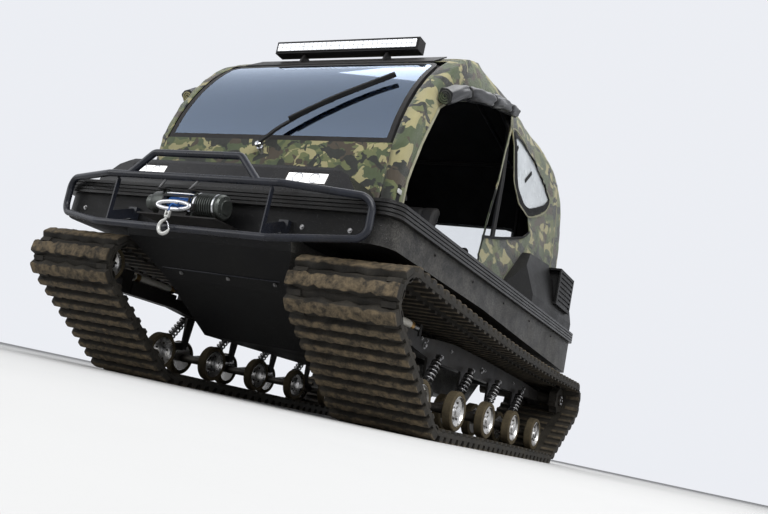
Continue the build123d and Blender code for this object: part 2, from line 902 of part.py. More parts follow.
def light_bar():
    """Finned housing with room for the lens."""
    half = bar_height / 2
    bar_z = bar_height_above_ground()
    body = block(bar_x - bar_depth / 2, bar_x + bar_depth / 2 - 6, -bar_half, bar_half,
                 bar_z - half, bar_z + half)
    fins = [block(bar_x - bar_depth / 2 - 8, bar_x - bar_depth / 2, -bar_half + 12, bar_half - 12,
                  bar_z + dz, bar_z + dz + 4) for dz in (-26, -14, -2, 10, 22)]
    return body + joined(fins)


def light_bar_lens():
    half = bar_height / 2
    bar_z = bar_height_above_ground()
    front = bar_x + bar_depth / 2 - 6
    return block(front, front + 6, -bar_half + 8, bar_half - 8, bar_z - half + 8, bar_z + half - 8)


def light_bar_mount():
    """Plate over the front edge of the roof, with two stands for the light bar."""
    front = screen_top_x - visor_setback
    rear = canopy_roof[0][0]
    lift = visor_thickness * 1.2
    bar_bottom = bar_height_above_ground() - bar_height / 2
    plate = prism_y(((front, visor_line(front, 0)), (front, visor_line(front, lift)),
                     (rear, visor_line(rear, lift)), (rear, visor_line(rear, 0))),
                    -visor_half, visor_half)
    stands = []
    for y in (-250, 250):
        foot = ((bar_x + 46, visor_line(bar_x + 46, lift)), (bar_x + 14, bar_bottom),
                (bar_x - 14, bar_bottom), (bar_x - 30, visor_line(bar_x - 30, lift)))
        stands.append(prism_y(foot, y - 6, y + 6))
    return plate + joined(stands)


# Canopy

def canopy_profile():
    """Side view of the fabric: up the bent windscreen, over the roof and down the rear."""
    steps = 6
    bend = [on_bend(index / steps, 1) for index in range(steps + 1)]
    return [(canopy_front_x - 6, canopy_base)] + bend + list(canopy_roof)


def canopy_plan(inset):
    """Half outline seen from above: parallel sides that draw in toward the front."""
    half = canopy_section[0][0] + 5 - inset
    front = canopy_front_half - inset
    nose = canopy_front_x + 60
    return ((-1300, half), (canopy_taper_start, half), (canopy_front_x, front), (nose, front))


def canopy_form(inset):
    section = [(y - inset, z - (inset if z > canopy_base else 5)) for y, z in canopy_section]
    profile = []
    for x, z in canopy_profile():
        shift = 0
        if x < canopy_rear_bend:
            shift = inset
        if x > screen_top_x:
            shift = -inset
        profile.append((x + shift, z - (inset if z > canopy_base else 5)))
    if not inset:
        section = list(canopy_section)
        profile = canopy_profile()
    loop = section + [(-y, z) for y, z in reversed(section)]
    plan = canopy_plan(inset)
    plan = list(plan) + [(x, -y) for x, y in reversed(plan)]
    top = canopy_section[-1][1]
    return prism_x(loop, -1300, 1100) & prism_y(profile, -800, 800) & prism_z(plan, 700, top + 50)


def canopy():
    """Fabric shell with the door, side window and rear window openings."""
    shell = canopy_form(0) - canopy_form(canopy_wall)
    half = screen_bottom_half + 12
    front = prism_y(((1120, canopy_base - 1), (1120, 1740), (screen_top_x + 10, screen_top_z + 12),
                     (screen_top_x - 60, screen_top_z + 12), (screen_bottom_x - 60, screen_bottom_z),
                     (960, canopy_base - 1)), -half, half)
    doors = prism_y(door_outline, -800, 800)
    panes = prism_y(side_window_outline, -800, 800)
    rear = block(-1300, -1000, -rear_window_half, rear_window_half,
                 rear_window_low, rear_window_high)
    return shell - front - doors - panes - rear


def canopy_windows():
    """Clear film in the side and rear windows."""
    film = canopy_form(2) - canopy_form(4)
    panes = prism_y(side_window_outline, -800, 800)
    rear = block(-1300, -1000, -rear_window_half, rear_window_half,
                 rear_window_low, rear_window_high)
    return film & (panes + rear)


def straight(points, place):
    """Second column at a place in the first, on the straight lines between the points."""
    for (a, low), (b, high) in zip(points, points[1:]):
        if min(a, b) <= place <= max(a, b):
            return low + (place - a) * (high - low) / (b - a)
    return points[-1][1]


def canopy_half(x, z):
    """Half width of the canopy at a place along the vehicle and a height."""
    by_height = straight([(height, half) for half, height in canopy_section], z)
    return min(by_height, straight(canopy_plan(0), x))


def door_roll():
    """Rolled flap on the fabric, along the door's upper edge."""
    out = door_roll_radius + door_roll_gap
    route = [(x, canopy_half(x, z) + out, z) for x, z in door_roll_places]
    shapes = [rod(a, b, door_roll_radius) for a, b in zip(route, route[1:])]
    knees = [Pos(*place) * Sphere(door_roll_radius) for place in route[1:-1]]
    ties = [block(x - 9, x + 9, canopy_half(x, z) - 3, canopy_half(x, z) + out, z - 9, z + 9)
            for x, z in door_roll_places]
    return joined(shapes + knees + ties) - canopy_form(0)


def hoop(stations, radius=13):
    """Cross hoop of the tube frame from its left half, on two foot plates."""
    left = [(x, y, z) for x, y, z in stations]
    right = [(x, -y, z) for x, y, z in reversed(stations)]
    x, y, foot = stations[0]
    plates = both(block(x - 30, x + 30, y - 22, y + 22, canopy_base, foot + 4))
    return bent_rod(left + right, 58, radius) + plates


def canopy_frame():
    """Three hoops under the fabric and two rails from the first to the deck's rear."""
    foot = canopy_base + 5
    front = hoop(((985, 660, foot), (985, 660, 1130), (880, 652, 1430), (698, 630, 1664),
                  (640, 545, 1728)))
    middle = hoop(((-70, 718, foot), (-70, 712, 1420), (-70, 694, 1715), (-70, 590, 1888),
                   (-70, 392, 1928)))
    rear = hoop(((-900, 718, foot), (-900, 712, 1420), (-900, 690, 1640), (-900, 590, 1780),
                 (-900, 392, 1806)))
    rail = bent_rod(((640, 440, 1728), (400, 440, 1852), (-70, 440, 1919), (-900, 440, 1799),
                     (-1128, 440, 1600), (-1236, 440, foot)), 58, 11)
    return front + middle + rear + both(rail)


# Cabin

def seat(y):
    """Cushion and backrest of one front seat."""
    top = seat_height + seat_cushion
    cushion = block(60, 520, y - 215, y + 215, seat_height, top)
    back = prism_y(((60, top), (130, top), (40, top + 480), (-30, top + 480)), y - 205, y + 205)
    return cushion + back


def bench():
    top = bench_height + 100
    cushion = block(-560, -150, -400, 400, bench_height, top)
    back = prism_y(((-560, top), (-490, top), (-560, top + 430), (-630, top + 430)), -400, 400)
    return cushion + back


def seat_boxes():
    """Boxes on the floor that carry the front seats and the bench."""
    floor = belly_height + wall
    front = block(90, 500, -box_half_width, box_half_width, floor, seat_height)
    rear = block(-540, -180, -box_half_width, box_half_width, floor, bench_height)
    return front + rear


def dashboard():
    outline = ((1028, 1040), (1010, 1120), (900, 1090), (850, 960), (880, 900), (1000, 900))
    return prism_y(outline, -620, 620) - scuttle()


def steering_column():
    head = steering_centre() - steering_axis() * 20
    foot = steering_centre() - steering_axis() * 219
    return rod(tuple(foot), tuple(head), 24) - dashboard()


def steering_axis():
    return Vector(-190, 0, 80).normalized()


def steering_centre():
    return Vector(670, 300, 1018)


def handlebar():
    """Hub on the column, with a bar bent back at both ends."""
    centre = steering_centre()
    hub = rod(tuple(centre - steering_axis() * (20 - rest_gap)), tuple(centre + steering_axis() * 28), 32)
    ends = ((640, 60, 1060), (655, 180, 1030), (655, 420, 1030), (640, 540, 1060))
    return hub + bent_rod(ends, 40, 12)


def engine_block():
    return block(-1090, -690, -260, 260, belly_height + wall, 700)


# Rear deck

def intake_pod():
    """Raised scoop beside the canopy, with a louvred box at its rear outer end."""
    low = canopy_base
    ridge = ((pod_front, low), (-450, pod_top - 36), (pod_mouth, pod_top), (pod_mouth, pod_top - 60),
             (-1240, pod_top - 150), (-1300, pod_top - 190), (-1300, low))
    inner = canopy_section[0][0] + 10
    crest = inner + 40
    body = prism_y(ridge, inner, pod_outer)
    slopes = prism_x(((inner - 60, low - 1), (pod_outer + 1, low - 1), (pod_outer + 1, low + 50),
                      (crest, pod_top + 2), (inner - 60, pod_top + 2)), -1340, pod_front + 40)
    nose = prism_z(((pod_front + 1, inner - 1), (-450, pod_outer + 1), (-1340, pod_outer + 1),
                    (-1340, inner - 1)), low - 1, pod_top + 3)
    box = block(louvre_rear, pod_mouth - 20, crest - 30, pod_outer + 12, low + 96, pod_top - 8)
    slots = [block(louvre_rear + 20, pod_mouth - 44, pod_outer + 6, pod_outer + 13, z, z + 14)
             for z in range(round(low) + 116, round(pod_top) - 30, 28)]
    mouth = block(pod_mouth - 60, pod_mouth - 20, crest - 18, pod_outer + 4, low + 108, pod_top - 20)
    return (body & slopes & nose) + (box - mouth - joined(slots))


def rear_lamps():
    low = rear_lamp_top - rear_lamp_height
    return both(block(hull_rear - 20, hull_rear, 560, 660, low, rear_lamp_top))


def tow_hitch():
    """Rear drawbar with a pin hole, bolted to the hull's rear wall."""
    plate = block(hull_rear - 8, hull_rear, -90, 90, 580, 680)
    bar = block(hull_rear - hitch_reach, hull_rear - 8, -30, 30, hitch_z - 6, hitch_z + 6)
    hole = Pos(hull_rear - hitch_reach + 32, 0, hitch_z) * Cylinder(hitch_hole_radius, 20)
    return plate + bar - hole


for side, turned in (("left", False), ("right", True)):
    for name, make in (("track", track), ("road_wheels", road_wheels), ("side_beam", side_beam)):
        piece = make()
        pieces[f"{name}_{side}"] = mirrored(piece) if turned else piece

for name, make in (("idlers", idler), ("sprockets", sprocket), ("suspension_arms", suspension_arms),
                   ("shocks", shocks), ("tensioners", tensioner), ("door_rolls", door_roll),
                   ("intake_pods", intake_pod)):
    pieces[name] = both(make())

pieces.update(
    hull=hull(), rim_moulding=rim_moulding(), deck=deck(), scuttle=scuttle(),
    hood=hood(), head_lamps=head_lamps(), hood_hinges=hood_hinges(),
    front_guard=front_guard(), winch_mount=winch_mount(), winch=winch(),
    winch_drum=winch_drum(), fairlead=fairlead(), winch_rope=winch_rope(),
    winch_hook=winch_hook(), windscreen_frame=windscreen_frame(),
    windscreen_glass=windscreen_glass(), screen_vent=screen_vent(), wiper=wiper(),
    wiper_spindle=wiper_spindle(), light_bar=light_bar(), light_bar_lens=light_bar_lens(),
    light_bar_mount=light_bar_mount(), canopy=canopy(), canopy_windows=canopy_windows(),
    canopy_frame=canopy_frame(), front_seats=both(seat(235)), rear_bench=bench(),
    seat_boxes=seat_boxes(), dashboard=dashboard(), steering_column=steering_column(),
    handlebar=handlebar(), engine_block=engine_block(), rear_lamps=rear_lamps(),
    tow_hitch=tow_hitch(),
)

for name, piece in pieces.items():
    export_step(piece, f"parts/{name}.step")
print(len(pieces), "nodes")
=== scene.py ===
import json
import math

import bmesh
import bpy
from mathutils import Matrix, Vector, noise
from mathutils.bvhtree import BVHTree


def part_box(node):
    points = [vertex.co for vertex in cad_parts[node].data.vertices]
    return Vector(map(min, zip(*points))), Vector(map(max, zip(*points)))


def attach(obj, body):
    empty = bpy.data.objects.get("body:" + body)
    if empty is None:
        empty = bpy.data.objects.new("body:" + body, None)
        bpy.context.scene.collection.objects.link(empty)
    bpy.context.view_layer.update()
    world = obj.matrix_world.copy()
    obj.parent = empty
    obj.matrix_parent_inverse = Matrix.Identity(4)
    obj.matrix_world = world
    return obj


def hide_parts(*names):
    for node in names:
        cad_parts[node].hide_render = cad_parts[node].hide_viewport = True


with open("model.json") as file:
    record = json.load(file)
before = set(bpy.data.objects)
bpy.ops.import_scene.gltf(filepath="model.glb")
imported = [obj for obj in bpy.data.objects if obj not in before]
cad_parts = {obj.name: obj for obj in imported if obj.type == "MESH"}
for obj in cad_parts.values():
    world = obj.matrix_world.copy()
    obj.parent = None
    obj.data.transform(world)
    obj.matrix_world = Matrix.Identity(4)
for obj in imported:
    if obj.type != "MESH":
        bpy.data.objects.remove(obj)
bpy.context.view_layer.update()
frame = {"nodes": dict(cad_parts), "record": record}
nodes = frame["nodes"]


# Camera at floor level, in front of the vehicle's left corner

def place_camera():
    lens = bpy.data.cameras.new("camera")
    lens.sensor_width = 36
    lens.lens = 38.55
    lens.clip_end = 100
    camera = bpy.data.objects.new("camera", lens)
    bpy.context.scene.collection.objects.link(camera)
    forward = Vector((-0.85833, -0.47511, 0.19374)).normalized()
    right = Vector((-0.43827, 0.87523, 0.20466)).normalized()
    right = (right - forward * right.dot(forward)).normalized()
    up = right.cross(forward)
    turned = Matrix((right, up, -forward)).transposed().to_4x4()
    camera.matrix_world = Matrix.Translation((3.897, 2.2956, 0.03)) @ turned
    bpy.context.scene.camera = camera


place_camera()
scene = bpy.context.scene
scene.view_settings.view_transform = "Standard"


# Floor and light

def lamp(name, size, energy, place, target):
    light = bpy.data.lights.new(name, "AREA")
    light.shape = "RECTANGLE"
    light.size, light.size_y = size
    light.energy = energy
    holder = bpy.data.objects.new(name, light)
    bpy.context.scene.collection.objects.link(holder)
    aim = (Vector(target) - Vector(place)).to_track_quat("-Z", "Y")
    holder.matrix_world = Matrix.Translation(place) @ aim.to_matrix().to_4x4()


lamp("key_light", (4, 3), 290, (4.2, 3.6, 4.2), (0, 0, 0.8))
lamp("fill_light", (3, 3), 55, (4.5, -3.5, 2.2), (0, 0, 0.8))
lamp("top_light", (5, 4), 120, (-0.5, 0.5, 5.5), (0, 0, 0))
lamp("rear_light", (4, 3), 110, (-5, -1.5, 3.5), (0, 0, 0.8))
lamp("side_light", (3, 1.4), 32, (0.5, 5.0, 1.2), (0, 0.9, 0.4))


class Tree:
    """Short calls that add and join shader nodes."""

    def __init__(self, owner):
        owner.use_nodes = True
        self.tree = owner.node_tree
        self.tree.nodes.clear()

    def add(self, kind, settings=None, **inputs):
        made = self.tree.nodes.new(kind)
        for key, value in (settings or {}).items():
            setattr(made, key, value)
        for key, value in inputs.items():
            self.join(value, made.inputs[key.replace("_", " ")])
        return made

    def join(self, value, socket):
        if hasattr(value, "outputs"):
            value = value.outputs[0]
        if hasattr(value, "is_output"):
            self.tree.links.new(value, socket)
        else:
            socket.default_value = value

    def place(self):
        return self.add("ShaderNodeTexCoord").outputs["Object"]

    def noise(self, scale, detail=3, rough=0.5, bend=0, stretch=None):
        where = self.place()
        if stretch:
            where = self.add("ShaderNodeMapping", Vector=where, Scale=stretch)
        made = self.add("ShaderNodeTexNoise", Vector=where, Scale=scale, Detail=detail,
                        Roughness=rough, Distortion=bend)
        return made.outputs["Fac"]

    def ramp(self, value, stops, sharp=False):
        made = self.add("ShaderNodeValToRGB", Fac=value)
        made.color_ramp.interpolation = "CONSTANT" if sharp else "LINEAR"
        points = made.color_ramp.elements
        while len(points) < len(stops):
            points.new(1)
        for point, (place, colour) in zip(points, stops):
            point.position = place
            point.color = (*colour, 1) if hasattr(colour, "__len__") else (colour,) * 3 + (1,)
        return made.outputs["Color"]

    def mix(self, share, first, second):
        made = self.add("ShaderNodeMix", {"data_type": "RGBA"})
        self.join(share, made.inputs[0])
        self.join(first, made.inputs[6])
        self.join(second, made.inputs[7])
        return made.outputs[2]

    def maths(self, what, first, second=0.5, clamp=False):
        made = self.add("ShaderNodeMath", {"operation": what, "use_clamp": clamp})
        self.join(first, made.inputs[0])
        self.join(second, made.inputs[1])
        return made.outputs[0]

    def facing(self, axis):
        """Share of the surface's outward direction along an axis."""
        normal = self.add("ShaderNodeNewGeometry").outputs["Normal"]
        return self.add("ShaderNodeSeparateXYZ", Vector=normal).outputs[axis]

    def height(self, low, high):
        """1 at the low height, falling to 0 at the high one."""
        z = self.add("ShaderNodeSeparateXYZ", Vector=self.place()).outputs["Z"]
        return self.add("ShaderNodeMapRange", Value=z, **{"From_Min": low, "From_Max": high,
                                                          "To_Min": 1.0, "To_Max": 0.0}).outputs[0]


def rgba(colour):
    return (*colour, 1) if hasattr(colour, "__len__") else (colour, colour, colour, 1)


def surface(name, colour, other, patch=6, rough=(0.5, 0.7), grain=300, bump=0.15, metal=0.0,
            dust=0.0, dust_top=1.2, dust_colour=(0.33, 0.27, 0.2), worn=None, depth=0.002,
            specks=0.0, tips=None, flanks=False, **shader):
    """Two mottled tones with a fine grain, and dust that settles low down and on top."""
    made = bpy.data.materials.new(name)
    tree = Tree(made)
    mottle = tree.noise(patch, 6, 0.65)
    base = tree.mix(tree.ramp(mottle, ((0.35, 0.0), (0.68, 1.0))), rgba(colour), rgba(other))
    speck = tree.noise(grain, 3, 0.6)
    if worn:
        chips = tree.ramp(tree.noise(22, 8, 0.75), ((0.6, 0.0), (0.66, 1.0)))
        base = tree.mix(chips, base, rgba(worn))
    if dust:
        lies = tree.maths("MULTIPLY", tree.ramp(tree.noise(9, 9, 0.7), ((0.3, 0.0), (0.72, 1.0))),
                          tree.height(0.0, dust_top), True)
        lies = tree.maths("ADD", lies, tree.maths("MULTIPLY", tree.facing("Z"), 0.35, True), True)
        if flanks:
            lies = tree.maths("MULTIPLY", lies, tree.maths("ABSOLUTE", tree.facing("Y")))
        lies = tree.maths("MULTIPLY", lies, tree.ramp(tree.noise(150, 4, 0.7), ((0.42, 0.3), (0.6, 1.0))))
        lies = tree.maths("MULTIPLY", lies, dust)
        base = tree.mix(lies, base, rgba(dust_colour))
    # Fine pale grey specks: partly dirt, partly painted glints on the grained plastic.
    if specks:
        bright = tree.ramp(tree.noise(330, 2, 0.5), ((0.7, 0.0), (0.76, specks)))
        base = tree.mix(bright, base, rgba((0.55, 0.55, 0.55)))
    # Lighter tan on lug tips and inner rib tips: partly dust, partly painted highlight.
    if tips:
        raised = tree.add("ShaderNodeAttribute", {"attribute_name": "raised"}).outputs["Fac"]
        tip_patches = tree.ramp(tree.noise(28, 9, 0.75), ((0.4, 0.1), (0.62, 1.0)))
        tip_dust_and_highlight = tree.maths("MULTIPLY", tree.ramp(raised, ((0.72, 0.0), (1.0, 1.0))), tip_patches)
        base = tree.mix(tip_dust_and_highlight, base, rgba(tips))
    gloss = tree.ramp(mottle, ((0.3, rough[0]), (0.7, rough[1])))
    relief = tree.add("ShaderNodeBump", Strength=bump, Distance=depth, Height=speck)
    skin = tree.add("ShaderNodeBsdfPrincipled", Base_Color=base, Roughness=gloss, Normal=relief)
    skin.inputs["Metallic"].default_value = metal
    skin.inputs["Specular IOR Level"].default_value = 0.16
    for key, value in shader.items():
        skin.inputs[key.replace("_", " ")].default_value = value
    tree.add("ShaderNodeOutputMaterial", Surface=skin)
    return made


def weave(tree, pitch):
    """Height of a plain weave with threads a pitch apart."""
    split = tree.add("ShaderNodeSeparateXYZ", Vector=tree.place())
    along = tree.maths("ADD", split.outputs["X"], split.outputs["Y"])
    first = tree.maths("SINE", tree.maths("MULTIPLY", along, 6.283 / pitch))
    second = tree.maths("SINE", tree.maths("MULTIPLY", split.outputs["Z"], 6.283 / pitch))
    return tree.maths("ADD", first, second)


camouflage_tones = {
    "green": (0.058, 0.078, 0.034),
    "khaki": (0.32, 0.29, 0.145),
    "olive": (0.115, 0.13, 0.052),
    "brown": (0.05, 0.038, 0.024),
    "black": (0.012, 0.014, 0.01),
}


def camouflage(name, size=1.0, bump=0.35):
    """Overlapping irregular patches of five tones on a woven cloth."""
    made = bpy.data.materials.new(name)
    tree = Tree(made)
    tones = {key: rgba(value) for key, value in camouflage_tones.items()}
    layers = (("olive", 8.5, 0.52, 0.5, (1, 1, 1.5)), ("brown", 9.3, 0.57, 0.6, (1.1, 1, 1.4)),
              ("khaki", 9.8, 0.56, 0.7, (1, 1.2, 1.6)), ("black", 9.1, 0.555, 0.8, (0.9, 1.1, 1.5)))
    colour = tones["green"]
    for key, scale, limit, bend, stretch in layers:
        field = tree.noise(scale / size, 3, 0.45, bend, stretch)
        edge = tree.ramp(field, ((limit - 0.004, 0.0), (limit + 0.004, 1.0)))
        colour = tree.mix(edge, colour, tones[key])
    fade = tree.ramp(tree.noise(2.2, 7, 0.7), ((0.3, 0.82), (0.7, 1.12)))
    faded = tree.add("ShaderNodeMix", {"data_type": "RGBA", "blend_type": "MULTIPLY"})
    tree.join(1.0, faded.inputs[0])
    tree.join(colour, faded.inputs[6])
    tree.join(fade, faded.inputs[7])
    wrinkle = tree.add("ShaderNodeBump", Strength=0.35, Distance=0.02,
                       Height=tree.noise(7, 5, 0.55, 0.6, (1, 1, 0.35)))
    threads = tree.add("ShaderNodeBump", Strength=bump, Distance=0.0006, Height=weave(tree, 0.0016),
                       Normal=wrinkle)
    skin = tree.add("ShaderNodeBsdfPrincipled", Base_Color=faded.outputs[2], Normal=threads,
                    Roughness=tree.ramp(tree.noise(40, 4), ((0.2, 0.68), (0.8, 0.9))))
    skin.inputs["Sheen Weight"].default_value = 0.25
    skin.inputs["Sheen Roughness"].default_value = 0.5
    tree.add("ShaderNodeOutputMaterial", Surface=skin)
    return made


def glowing(name, colour, strength, bump_scale=120):
    made = bpy.data.materials.new(name)
    tree = Tree(made)
    ripple = tree.add("ShaderNodeBump", Strength=0.4, Distance=0.002, Height=tree.noise(bump_scale, 2))
    tint = tree.mix(tree.ramp(tree.noise(30, 3), ((0.4, 0.0), (0.6, 1.0))), rgba(colour),
                    rgba(tuple(c * 0.8 for c in colour)))
    skin = tree.add("ShaderNodeBsdfPrincipled", Base_Color=tint, Roughness=0.12, Normal=ripple,
                    Emission_Color=tint)
    skin.inputs["Emission Strength"].default_value = strength
    tree.add("ShaderNodeOutputMaterial", Surface=skin)
    return made


def clear(name, colour, rough, see=0.85, mirror=0.0, gain=1.0, rear=0.0, sheen=0.0):
    """Pane whose gloss grows at a slant; the share seen through may differ at the rear."""
    made = bpy.data.materials.new(name)
    tree = Tree(made)
    smear = tree.ramp(tree.noise(5, 6, 0.6), ((0.3, rough), (0.8, rough * 1.8)))
    skin = tree.add("ShaderNodeBsdfPrincipled", Base_Color=rgba(colour), Roughness=smear)
    skin.inputs["Metallic"].default_value = mirror
    window = tree.add("ShaderNodeBsdfTransparent", Color=rgba(tuple(0.75 + 0.25 * c for c in colour)))
    mixed = tree.add("ShaderNodeMixShader")
    dirt = tree.ramp(tree.noise(8, 8, 0.65), ((0.3, 1 - see), (0.8, min(1, (1 - see) * 1.5))))
    if rear:
        x = tree.add("ShaderNodeSeparateXYZ", Vector=tree.place()).outputs["X"]
        front = tree.add("ShaderNodeMapRange", Value=x, **{"From_Min": -1.2, "From_Max": -1.1,
                                                           "To_Min": 1 - rear}).outputs[0]
        dirt = tree.maths("MULTIPLY", dirt, front)
    slant = tree.maths("MULTIPLY", tree.add("ShaderNodeFresnel", IOR=1.45).outputs[0], gain, True)
    share = tree.maths("MAXIMUM", dirt, slant)
    # Painted sheen: the pane is made more mirror-like towards its lower edge, so the lower glass reads brighter.
    if sheen:
        low = tree.maths("MULTIPLY", tree.height(1.17, 1.62), sheen)
        share = tree.maths("ADD", share, low, True)
    tree.join(share, mixed.inputs[0])
    tree.join(window, mixed.inputs[1])
    tree.join(skin, mixed.inputs[2])
    tree.add("ShaderNodeOutputMaterial", Surface=mixed)
    return made


def pale_surroundings():
    world = bpy.data.worlds.new("studio")
    bpy.context.scene.world = world
    tree = Tree(world)
    path = tree.add("ShaderNodeLightPath")
    seen = tree.maths("MAXIMUM", path.outputs["Is Camera Ray"], path.outputs["Is Transmission Ray"])
    seen = tree.maths("MAXIMUM", seen, path.outputs["Is Glossy Ray"])
    level = tree.add("ShaderNodeMapRange", Value=seen, **{"To_Min": 0.32, "To_Max": 0.9})
    sky = tree.add("ShaderNodeBackground", Color=(0.93, 0.95, 1, 1), Strength=level)
    tree.add("ShaderNodeOutputWorld", Surface=sky)
    mesh = bmesh.new()
    bmesh.ops.create_grid(mesh, x_segments=1, y_segments=1, size=30)
    floor = bpy.data.meshes.new("floor")
    mesh.to_mesh(floor)
    holder = bpy.data.objects.new("floor", floor)
    bpy.context.scene.collection.objects.link(holder)
    floor.materials.append(surface("floor_paint", (0.6, 0.6, 0.595), (0.63, 0.63, 0.625), 0.6,
                                   (0.75, 0.85), 90, 0.05))


pale_surroundings()

# Finishes

finishes = {
    "track_rubber": surface("track_rubber", (0.012, 0.0118, 0.0115), (0.036, 0.033, 0.029), 14, (0.6, 0.85),
                            420, 0.6, dust=0.3, dust_top=1.1, dust_colour=(0.12, 0.1, 0.065),
                            tips=(0.17, 0.13, 0.08)),
    "wheel_rubber": surface("wheel_rubber", (0.045, 0.038, 0.024), (0.1, 0.08, 0.048), 14, (0.8, 0.95),
                            380, 0.4, dust=0.5, dust_colour=(0.2, 0.155, 0.095)),
    "wheel_metal": surface("wheel_metal", (0.5, 0.5, 0.5), (0.66, 0.65, 0.63), 9, (0.2, 0.36), 260,
                           0.1, metal=0.95, dust=0.25),
    "frame_paint": surface("frame_paint", (0.008, 0.008, 0.009), (0.018, 0.0175, 0.017), 8, (0.38, 0.6),
                           320, 0.15, dust=0.1),
    "sprocket_steel": surface("sprocket_steel", (0.02, 0.02, 0.02), (0.05, 0.047, 0.042), 10,
                              (0.4, 0.6), 300, 0.2, metal=0.5, dust=0.25),
    "shock_steel": surface("shock_steel", (0.14, 0.14, 0.145), (0.34, 0.34, 0.34), 12, (0.24, 0.4), 300, 0.1,
                           metal=0.9, dust=0.2),
    "tensioner_paint": surface("tensioner_paint", (0.66, 0.65, 0.6), (0.55, 0.52, 0.45), 14,
                               (0.4, 0.6), 280, 0.1, dust=0.35),
    "brass": surface("brass", (0.5, 0.33, 0.12), (0.35, 0.2, 0.08), 18, (0.35, 0.5), 280, 0.15,
                     metal=0.9, dust=0.3),
    "canopy_cloth": camouflage("canopy_cloth", 1.5),
    "scuttle_camouflage": camouflage("scuttle_camouflage", 0.9, 0.1),
    "roll_cloth": surface("roll_cloth", (0.002, 0.0022, 0.003), (0.006, 0.0065, 0.008), 16, (0.24, 0.4), 700,
                          0.3, depth=0.001, Specular_IOR_Level=0.5),
    "lining": surface("lining", (0.01, 0.01, 0.011), (0.02, 0.02, 0.021), 5, (0.8, 0.95), 600, 0.3,
                      Specular_IOR_Level=0.1),
    "pod_plastic": surface("pod_plastic", (0.003, 0.003, 0.0033), (0.008, 0.008, 0.008), 5, (0.36, 0.55),
                           260, 0.5, specks=0.2, dust=0.05, dust_top=2.6, dust_colour=(0.3, 0.28, 0.25)),
    "hull_plastic": surface("hull_plastic", (0.003, 0.003, 0.0035), (0.008, 0.0078, 0.0075), 4,
                            (0.36, 0.55), 240, 0.7, dust=1.0, dust_top=1.5, specks=0.5, flanks=True,
                            dust_colour=(0.2, 0.19, 0.17)),
    "rim_plastic": surface("rim_plastic", (0.003, 0.003, 0.0035), (0.007, 0.007, 0.007), 6,
                           (0.24, 0.38), 240, 0.5, dust=0.05, dust_top=1.6, specks=0.3,
                           Specular_IOR_Level=0.22),
    "deck_plastic": surface("deck_plastic", (0.004, 0.004, 0.0045), (0.01, 0.01, 0.01), 5,
                            (0.4, 0.6), 240, 0.5, dust=0.04, dust_top=1.6, specks=0.2),
    "hood_plastic": surface("hood_plastic", (0.003, 0.003, 0.0038), (0.008, 0.008, 0.009), 5,
                            (0.2, 0.34), 250, 0.4, dust=0.04, dust_top=2.0, specks=0.2,
                            Specular_IOR_Level=0.3),
    "guard_paint": surface("guard_paint", (0.006, 0.0075, 0.012), (0.011, 0.014, 0.023), 7,
                           (0.22, 0.34), 260, 0.08, dust=0.08, dust_top=1.4, Specular_IOR_Level=0.3),
    "winch_metal": surface("winch_metal", (0.05, 0.055, 0.052), (0.11, 0.12, 0.112), 10, (0.28, 0.42),
                           300, 0.15, metal=0.7, dust=0.1),
    "polished_metal": surface("polished_metal", (0.62, 0.63, 0.65), (0.5, 0.5, 0.52), 14,
                              (0.16, 0.3), 200, 0.04, metal=1.0, dust=0.08),
    "rope_fibre": surface("rope_fibre", (0.02, 0.09, 0.32), (0.04, 0.15, 0.45), 90, (0.7, 0.85), 900,
                          0.6),
    "hook_paint": surface("hook_paint", (0.6, 0.6, 0.58), (0.45, 0.45, 0.43), 20, (0.3, 0.45), 260,
                          0.1, metal=0.6, dust=0.1),
    "trim_black": surface("trim_black", (0.01, 0.01, 0.011), (0.024, 0.024, 0.025), 8, (0.4, 0.58),
                          300, 0.25, dust=0.08, dust_top=3),
    "wiper_black": surface("wiper_black", (0.004, 0.004, 0.004), (0.009, 0.009, 0.009), 20,
                           (0.25, 0.4), 400, 0.1),
    "seat_vinyl": surface("seat_vinyl", (0.016, 0.016, 0.017), (0.03, 0.03, 0.031), 8, (0.38, 0.5),
                          520, 0.35, dust=0.08, dust_top=3),
    "engine_metal": surface("engine_metal", (0.12, 0.12, 0.125), (0.2, 0.2, 0.2), 9, (0.4, 0.6), 200,
                            0.2, metal=0.7),
    "lamp_lens": glowing("lamp_lens", (1.0, 0.99, 0.97), 0.85),
    "diode": glowing("diode", (0.95, 0.97, 1.0), 0.4),
    "diode_reflector": surface("diode_reflector", (0.22, 0.23, 0.25), (0.4, 0.4, 0.42), 40,
                               (0.1, 0.2), 300, 0.05, metal=1.0),
    "rear_lens": glowing("rear_lens", (0.5, 0.012, 0.008), 0.05),
    "windscreen_glass": clear("windscreen_glass", (0.6, 0.74, 0.95), 0.04, 0.92, 1.0, 2.6, sheen=0.2),
    "window_film": clear("window_film", (0.8, 0.84, 0.87), 0.2, 0.42, rear=0.9),
    "strap_black": surface("strap_black", (0.012, 0.012, 0.013), (0.022, 0.022, 0.022), 30,
                           (0.7, 0.85), 900, 0.5),
    "edging": surface("edging", (0.3, 0.29, 0.22), (0.22, 0.22, 0.15), 20, (0.7, 0.85), 700, 0.4),
}

for entry in frame["record"]["subparts"]:
    piece = nodes[entry["node"]]
    wanted = finishes.get(entry["material_slot"], finishes["canopy_cloth"])
    piece.data.materials.clear()
    piece.data.materials.append(wanted)


# Making pieces

